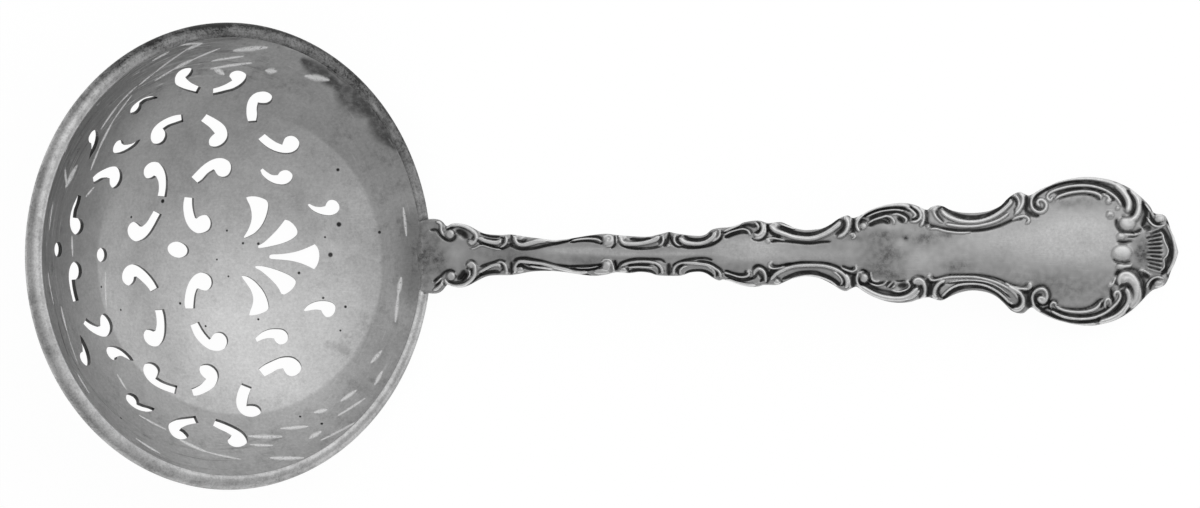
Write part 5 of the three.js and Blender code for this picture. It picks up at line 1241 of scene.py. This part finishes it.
# Ribs of the shell fan out from a row of starts to a row of ends, with a sunk line between each two
RIBS = 11
RIB_MIDDLE_PX = 250.4
RIB_STARTS_PX = (1146, 35.5)
RIB_ENDS_PX = (1162, 45)
RIB_HALF_PX = 1.1
RIB_GAP_HALF_PX = 1.5
RIB_STAGGER_PX = (2.4, 1.4)
RIB_RELIEF_SHARE = 0.6
RIB_SHINE = 0.3
RIB_GAP_DARK = 1.5

# Strokes of the ornament: how they are sampled, and how high, bright or dark each kind is over its width
STROKE_CURVE_STEPS = 6
SAMPLE_PX = 0.6
REACH_SHARE = 2.6
TIP_SHARE = 0.45
FULL_WIDTH_PX = 2.4
CREST_LEAST_SHARE = 0.35
CREST_SHARE_PER_PX = 0.3
CREST_WIDTH_SHARE = 1.15
CREST_SHINE_SHARE = 1.2
FOOT_TARNISH = 0.6
FOOT_PLACE_SHARE = 1.5
FOOT_SPREAD_SHARE = 0.5
BALL_LEAST_SHARE = 0.4
BALL_SHARE_PER_PX = 0.12
BALL_SHINE = 0.55
BALL_SHINE_SHARE = 1.1
BALL_SHINE_SLOPE = 2.5
GROOVE_DARK = 1.35
GROOVE_SPREAD_SHARE = 1.2
GROOVE_SHARE_PER_PX = 0.8
GROOVE_UNDER_CREST = 0.75
CREST_CLEAN_SHARE = 0.85

# Tarnish and painted light on the plain panel, as pixels: centre, half axes and how much darker, or lighter
# where negative. The long thin lighter strips along the middle of the stem, the darker strips beside them,
# and the light band across the head with darker parts above and below it are painted highlight and painted
# shade of the crowned panel; the rest are stains and rubbed patches.
PANEL_TARNISH = 0.29
STAINS_AND_PAINTED_LIGHT_PX = [
    (421, 256, 7, 45, 0.3), (434, 256, 11, 30, 0.26), (440, 263, 6, 9, 0.25), (456.5, 254, 8, 7, -0.16),
    (1141, 252, 9, 15, 0.5), (508, 256, 24, 12, 0.22), (581, 250.5, 32, 3, -0.55), (586, 261, 24, 4.5, 0.2),
    (623, 254, 26, 2.4, -0.34), (680, 253.5, 26, 2.4, -0.3), (640, 258.7, 20, 1.8, 0.2),
    (702, 257.3, 16, 1.8, 0.2), (743, 250, 30, 10, -0.6), (738, 266, 14, 5, 0.12), (815, 255, 40, 5, -0.16),
    (852, 238, 14, 4, 0.2), (884, 235, 18, 7, 0.26), (890, 227.5, 12, 3, -0.2), (905.5, 237.8, 3.4, 3, 0.5),
    (901, 243, 9, 7, -0.2), (925, 238, 14, 8, 0.3), (947, 235, 9, 3.5, 0.3), (888, 255, 20, 13, 0.36),
    (874, 268, 12, 6, 0.18), (888, 275, 19, 5, 0.36), (920, 259, 20, 11, -0.14), (919.5, 272, 4, 2, 0.2),
    (957, 266.5, 13, 6, 0.34), (1005, 240, 34, 16, -0.2), (1076, 240, 46, 26, -0.44),
    (1060, 286, 56, 20, 0.2), (1076, 203, 26, 6, 0.26), (1124, 290, 20, 20, 0.1),
]
root_radius = lip_outer + SEAM_GAP
root_x = root_radius * math.cos(BOWL_TILT) - lip_drop * math.sin(BOWL_TILT)
root_top = sphere_centre.z - root_radius * math.sin(BOWL_TILT) - lip_drop * math.cos(BOWL_TILT) + SEAM_GAP
root_height = root_top - HANDLE_THICKNESS * ROOT_BAR_SHARE


def handle_plan(pixels):
    """Places of pixels on the handle's plan."""
    along, across = along_across(pixels)
    share = (along - ROOT_ALONG_PX) / (TIP_ALONG_PX - ROOT_ALONG_PX)
    return root_x + share * HANDLE_LENGTH, across * HANDLE_WIDTH / HANDLE_WIDTH_PX


def side_view(x):
    """Underside and face of the handle at places along it."""
    share = (x - root_x) / HANDLE_LENGTH
    table = smooth_curve(SIDE_SHARES, EDGE_CURVE_STEPS)
    height, arch, thickness = (np.interp(share, table[:, 0], table[:, column]) for column in (1, 2, 3))
    underside = root_height * height + HANDLE_ARCH * arch
    return underside, underside + HANDLE_THICKNESS * thickness - SCROLL_RELIEF


def edge_at(table, stations):
    """The silhouette's pixel row at stations."""
    curve = smooth_curve(table, EDGE_CURVE_STEPS)
    return np.interp(stations, curve[:, 0], curve[:, 1])


def closeness(pixels, half, points):
    """Which pixels lie near a stroke, and how many of its half widths away. Its ends are narrower."""
    curve = smooth_curve(points, STROKE_CURVE_STEPS)
    steps = np.linalg.norm(np.diff(curve, axis=0), axis=1)
    run = np.concatenate([[0], np.cumsum(steps)])
    places = np.linspace(0, run[-1], max(2, int(run[-1] / SAMPLE_PX)))
    samples = np.stack([np.interp(places, run, curve[:, 0]), np.interp(places, run, curve[:, 1])], 1)
    to_end = np.minimum(places, run[-1] - places)
    widths = half * np.clip(TIP_SHARE + (1 - TIP_SHARE) * to_end / FULL_WIDTH_PX, 0, 1)
    reach = half * REACH_SHARE
    low, high = samples.min(0) - reach, samples.max(0) + reach
    near = np.flatnonzero(((pixels > low) & (pixels < high)).all(1))
    gaps = np.linalg.norm(pixels[near][:, None] - samples[None], axis=2) / widths
    return near, gaps.min(1)


def dome(gap, power=2):
    """Height of a rounded section, from 1 in its middle to 0 at a gap of 1."""
    return np.sqrt(np.clip(1 - gap ** power, 0, 1))


def relief_of(pixels):
    """Height of the ornament over the panel, and how much each pixel is a crest or a groove."""
    height, crest, groove = (np.zeros(len(pixels)) for _ in range(3))
    for index in range(2 * RIBS - 1):
        side = index / (2 * RIBS - 2) - 0.5
        ends = [(station, RIB_MIDDLE_PX + side * spread) for station, spread in (RIB_STARTS_PX, RIB_ENDS_PX)]
        stagger = RIB_STAGGER_PX[0] * (index % 4 == 1) + RIB_STAGGER_PX[1] * (index % 3 == 1)
        ends[0] = (ends[0][0] + stagger, ends[0][1])
        if index % 2:
            near, gap = closeness(pixels, RIB_GAP_HALF_PX, ends)
            height[near] -= GROOVE_DEPTH * np.exp(-gap ** 2)
            groove[near] = np.maximum(groove[near], np.clip(RIB_GAP_DARK * np.exp(-gap ** 2), 0, 1))
        else:
            near, gap = closeness(pixels, RIB_HALF_PX, ends)
            height[near] = np.maximum(height[near], RIB_RELIEF_SHARE * SCROLL_RELIEF * dome(gap))
            crest[near] = np.maximum(crest[near], np.clip(1 - gap, 0, 1) * RIB_SHINE)
    for half, points in CRESTS_PX:
        near, gap = closeness(pixels, half, points)
        size = SCROLL_RELIEF * min(1, CREST_LEAST_SHARE + half * CREST_SHARE_PER_PX)
        foot = FOOT_TARNISH * np.exp(-((gap - FOOT_PLACE_SHARE) / FOOT_SPREAD_SHARE) ** 2)
        height[near] = np.maximum(height[near], size * dome(gap / CREST_WIDTH_SHARE))
        crest[near] = np.maximum(crest[near], np.clip(CREST_SHINE_SHARE - gap, 0, 1))
        groove[near] = np.maximum(groove[near], foot)
    for x, y, half_x, half_y in BALLS_PX:
        gap = np.hypot((pixels[:, 0] - x) / half_x, (pixels[:, 1] - y) / half_y)
        size = SCROLL_RELIEF * min(1, BALL_LEAST_SHARE + half_y * BALL_SHARE_PER_PX)
        shine = np.clip(BALL_SHINE_SLOPE * (BALL_SHINE_SHARE - gap), 0, 1) * BALL_SHINE
        height = np.maximum(height, size * dome(gap, 3))
        crest = np.maximum(crest, shine)
    for half, points in GROOVES_PX:
        near, gap = closeness(pixels, half, points)
        depth = np.clip(GROOVE_DARK * np.exp(-(gap / GROOVE_SPREAD_SHARE) ** 2), 0, 1)
        cut = GROOVE_DEPTH * min(1, half * GROOVE_SHARE_PER_PX)
        height[near] -= cut * depth * (1 - GROOVE_UNDER_CREST * crest[near])
        groove[near] = np.maximum(groove[near], depth)
    groove *= 1 - CREST_CLEAN_SHARE * crest
    return height, crest, groove


bm = bmesh.new()
bmesh.ops.create_grid(bm, x_segments=STATION_STEPS, y_segments=AROUND_STEPS, size=1)
unit = (np.array([v.co[:2] for v in bm.verts]) + 1) / 2
stations = STATIONS_PX[0] + unit[:, 0] * (STATIONS_PX[1] - STATIONS_PX[0])
turn = np.round(unit[:, 1] * AROUND_STEPS) % AROUND_STEPS
top = turn < TOP_STEPS + 0.5
share = np.where(top, 1 - 2 * turn / TOP_STEPS, 2 * (turn - TOP_STEPS) / (AROUND_STEPS - TOP_STEPS) - 1)
spread = (1 - EDGE_CROWDING) * share + EDGE_CROWDING * np.sin(share * math.pi / 2)
upper, lower = edge_at(UPPER_EDGE_PX, stations), edge_at(LOWER_EDGE_PX, stations)
rows = (upper + lower) / 2 + spread * (lower - upper) / 2
pixels = np.stack([stations, rows], 1)
x, y = handle_plan(pixels)
underside, face = side_view(x)

outline = kdtree.KDTree(2 * STATION_STEPS)
edge_stations = np.linspace(STATIONS_PX[0] - EDGE_OVERRUN_PX, STATIONS_PX[1], STATION_STEPS)
for column, table in enumerate((UPPER_EDGE_PX, LOWER_EDGE_PX)):
    edge_x, edge_y = handle_plan(np.stack([edge_stations, edge_at(table, edge_stations)], 1))
    for index, place in enumerate(zip(edge_x, edge_y)):
        outline.insert((*place, 0), column * STATION_STEPS + index)
outline.balance()
inset = np.array([outline.find((a, b, 0))[2] for a, b in zip(x, y)])

height, crest, groove = (np.zeros(len(pixels)) for _ in range(3))
height[top], crest[top], groove[top] = relief_of(pixels[top])
# Stains, with painted highlight strips and painted shade of the crowned panel among them
stains_and_painted_light = np.full(len(pixels), PANEL_TARNISH)
for x_px, y_px, half_x, half_y, strength in STAINS_AND_PAINTED_LIGHT_PX:
    gap = np.hypot((pixels[:, 0] - x_px) / half_x, (pixels[:, 1] - y_px) / half_y)
    stains_and_painted_light += strength * np.exp(-gap ** 2)
upper_y, lower_y = (handle_plan(np.stack([stations, edge], 1))[1] for edge in (upper, lower))
half_width = abs(lower_y - upper_y) / 2
at_root = np.clip(1 - (x - root_x) / ROOT_FADE, 0, 1)
crown = CROWN_SHARE * half_width * (1 - spread ** 2) * (1 - at_root) + ROOT_DISH * spread ** 2 * at_root


def rounding(radius):
    """How far a rounded edge has fallen at each vertex."""
    inward = np.clip(radius - inset, 0, radius)
    return radius - np.sqrt(radius ** 2 - inward ** 2)


z = np.where(top, face + crown + height - rounding(TOP_ROUNDING), underside + rounding(UNDER_ROUNDING))
z = np.maximum(z, 0)
for vertex, place in zip(bm.verts, zip(x, y, z)):
    vertex.co = place
for name, values in (("crest", crest), ("groove", groove), ("stain_and_light", stains_and_painted_light)):
    layer = bm.verts.layers.float.new(name)
    for vertex, value in zip(bm.verts, values):
        vertex[layer] = value
bmesh.ops.remove_doubles(bm, verts=bm.verts, dist=SAME_PLACE)
bmesh.ops.holes_fill(bm, edges=[e for e in bm.edges if e.is_boundary])
bmesh.ops.recalc_face_normals(bm, faces=bm.faces)
handle = new_piece("handle_silver", bm)
for polygon in handle.data.polygons:
    polygon.use_smooth = True
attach(handle, "root")
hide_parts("handle")

# Finish of the handle: crests rubbed bright, hollows black with old tarnish, and stains, painted highlight
# and painted shade on the plain panel.
HANDLE_TONE = 0.6
MOTTLE_GRAIN = (1.3, 6, 0.8)
MOTTLE_LIMITS = (0.38, 0.62, 0.72, 1.28)
WORN_GRAIN = (1.5, 3)
WORN_LIMITS = (0.2, 0.6, 0.3, 0.7)
HANDLE_BUMP = 0.3

material, tree, shader, coordinates = new_silver("handle_silver")
vector = add_node(tree, "ShaderNodeMapping", coordinates, None, None, (MM_PER_M,) * 3).outputs[0]
# The stain attribute carries stains and also painted highlight and shade
crests, grooves, stain_and_light_values = (add_node(tree, "ShaderNodeAttribute", attribute_name=name).outputs["Fac"]
                           for name in ("crest", "groove", "stain_and_light"))
stains_and_painted_light = calc(tree, "MULTIPLY", stain_and_light_values, patchy_mask(tree, vector, MOTTLE_GRAIN, MOTTLE_LIMITS))
stains_and_painted_light = calc(tree, "MULTIPLY", stains_and_painted_light, calc(tree, "SUBTRACT", 1, crests))
worn = calc(tree, "MULTIPLY", crests, patchy_mask(tree, vector, WORN_GRAIN, WORN_LIMITS))
dark = calc(tree, "MAXIMUM", grooves, stains_and_painted_light)
finish_silver(tree, shader, vector, HANDLE_TONE, dark, worn, HANDLE_BUMP)
handle.data.materials.append(material)

# Table, lamp and camera: a plain white table in a grey studio that is lighter on the spoon's upper right
# side, with one broad soft lamp there, seen from straight above.
CAMERA_HEIGHT = 2
camera = bpy.data.objects.new("camera", bpy.data.cameras.new("camera"))
bpy.context.scene.collection.objects.link(camera)
camera.location = (-REST_ALONG_PX / PX_PER_M, 0, CAMERA_HEIGHT)
camera.rotation_euler = (0, 0, -axis_roll)
camera.data.type = "ORTHO"
camera.data.ortho_scale = FRAME_PX[0] / PX_PER_M
bpy.context.scene.camera = camera
bpy.context.scene.view_settings.view_transform = "Standard"

TABLE_SIZE = 3
TABLE_DROP = 0.0001
bm = bmesh.new()
bmesh.ops.create_grid(bm, x_segments=2, y_segments=2, size=TABLE_SIZE)
table = new_piece("table", bm)
table.location.z = -TABLE_DROP

# The table is white to the eye and in the silver, and keeps a faint shadow
SHADOW_SHARE = 0.1
TABLE_COLOUR = (0.9, 0.9, 0.9, 1)
TABLE_GLOW = 1.05
material = bpy.data.materials.new("white_table")
material.use_nodes = True
tree = material.node_tree
tree.nodes.clear()
path = tree.nodes.new("ShaderNodeLightPath").outputs
seen = strongest(tree, [path["Is Camera Ray"], path["Is Glossy Ray"], path["Is Transmission Ray"]])
matt = add_node(tree, "ShaderNodeBsdfDiffuse", TABLE_COLOUR).outputs[0]
white = add_node(tree, "ShaderNodeEmission", (1, 1, 1, 1), TABLE_GLOW).outputs[0]
white_share = calc(tree, "MULTIPLY", seen, 1 - SHADOW_SHARE)
mixed = add_node(tree, "ShaderNodeMixShader", white_share, matt, white).outputs[0]
connect(tree, mixed, tree.nodes.new("ShaderNodeOutputMaterial").inputs["Surface"])
table.data.materials.append(material)

LAMP_PLACE = Vector((0.66, 0.74, 0.99))
LAMP_SIZE = 1.2
LAMP_POWER = 0.4
lamp = bpy.data.objects.new("soft_lamp", bpy.data.lights.new("soft_lamp", "AREA"))
bpy.context.scene.collection.objects.link(lamp)
lamp.data.size = LAMP_SIZE
lamp.data.energy = LAMP_POWER
lamp.location = LAMP_PLACE
lamp.rotation_euler = (-LAMP_PLACE).to_track_quat("-Z", "Y").to_euler()
lamp.visible_camera = False

# The studio is grey, with a soft broad light on one side
LIGHT_SIDE = Vector((0.473, 0.525, 0.707)).normalized()
STUDIO_GREYS = (0.6, 0.98, 0.5, 0.95)
world = bpy.data.worlds.new("studio")
bpy.context.scene.world = world
world.use_nodes = True
tree = world.node_tree
direction = tree.nodes.new("ShaderNodeTexCoord").outputs["Generated"]
facing = measure(tree, "DOT_PRODUCT", direction, LIGHT_SIDE)
glow = ease(tree, facing, *STUDIO_GREYS)
connect(tree, glow, tree.nodes["Background"].inputs["Color"])
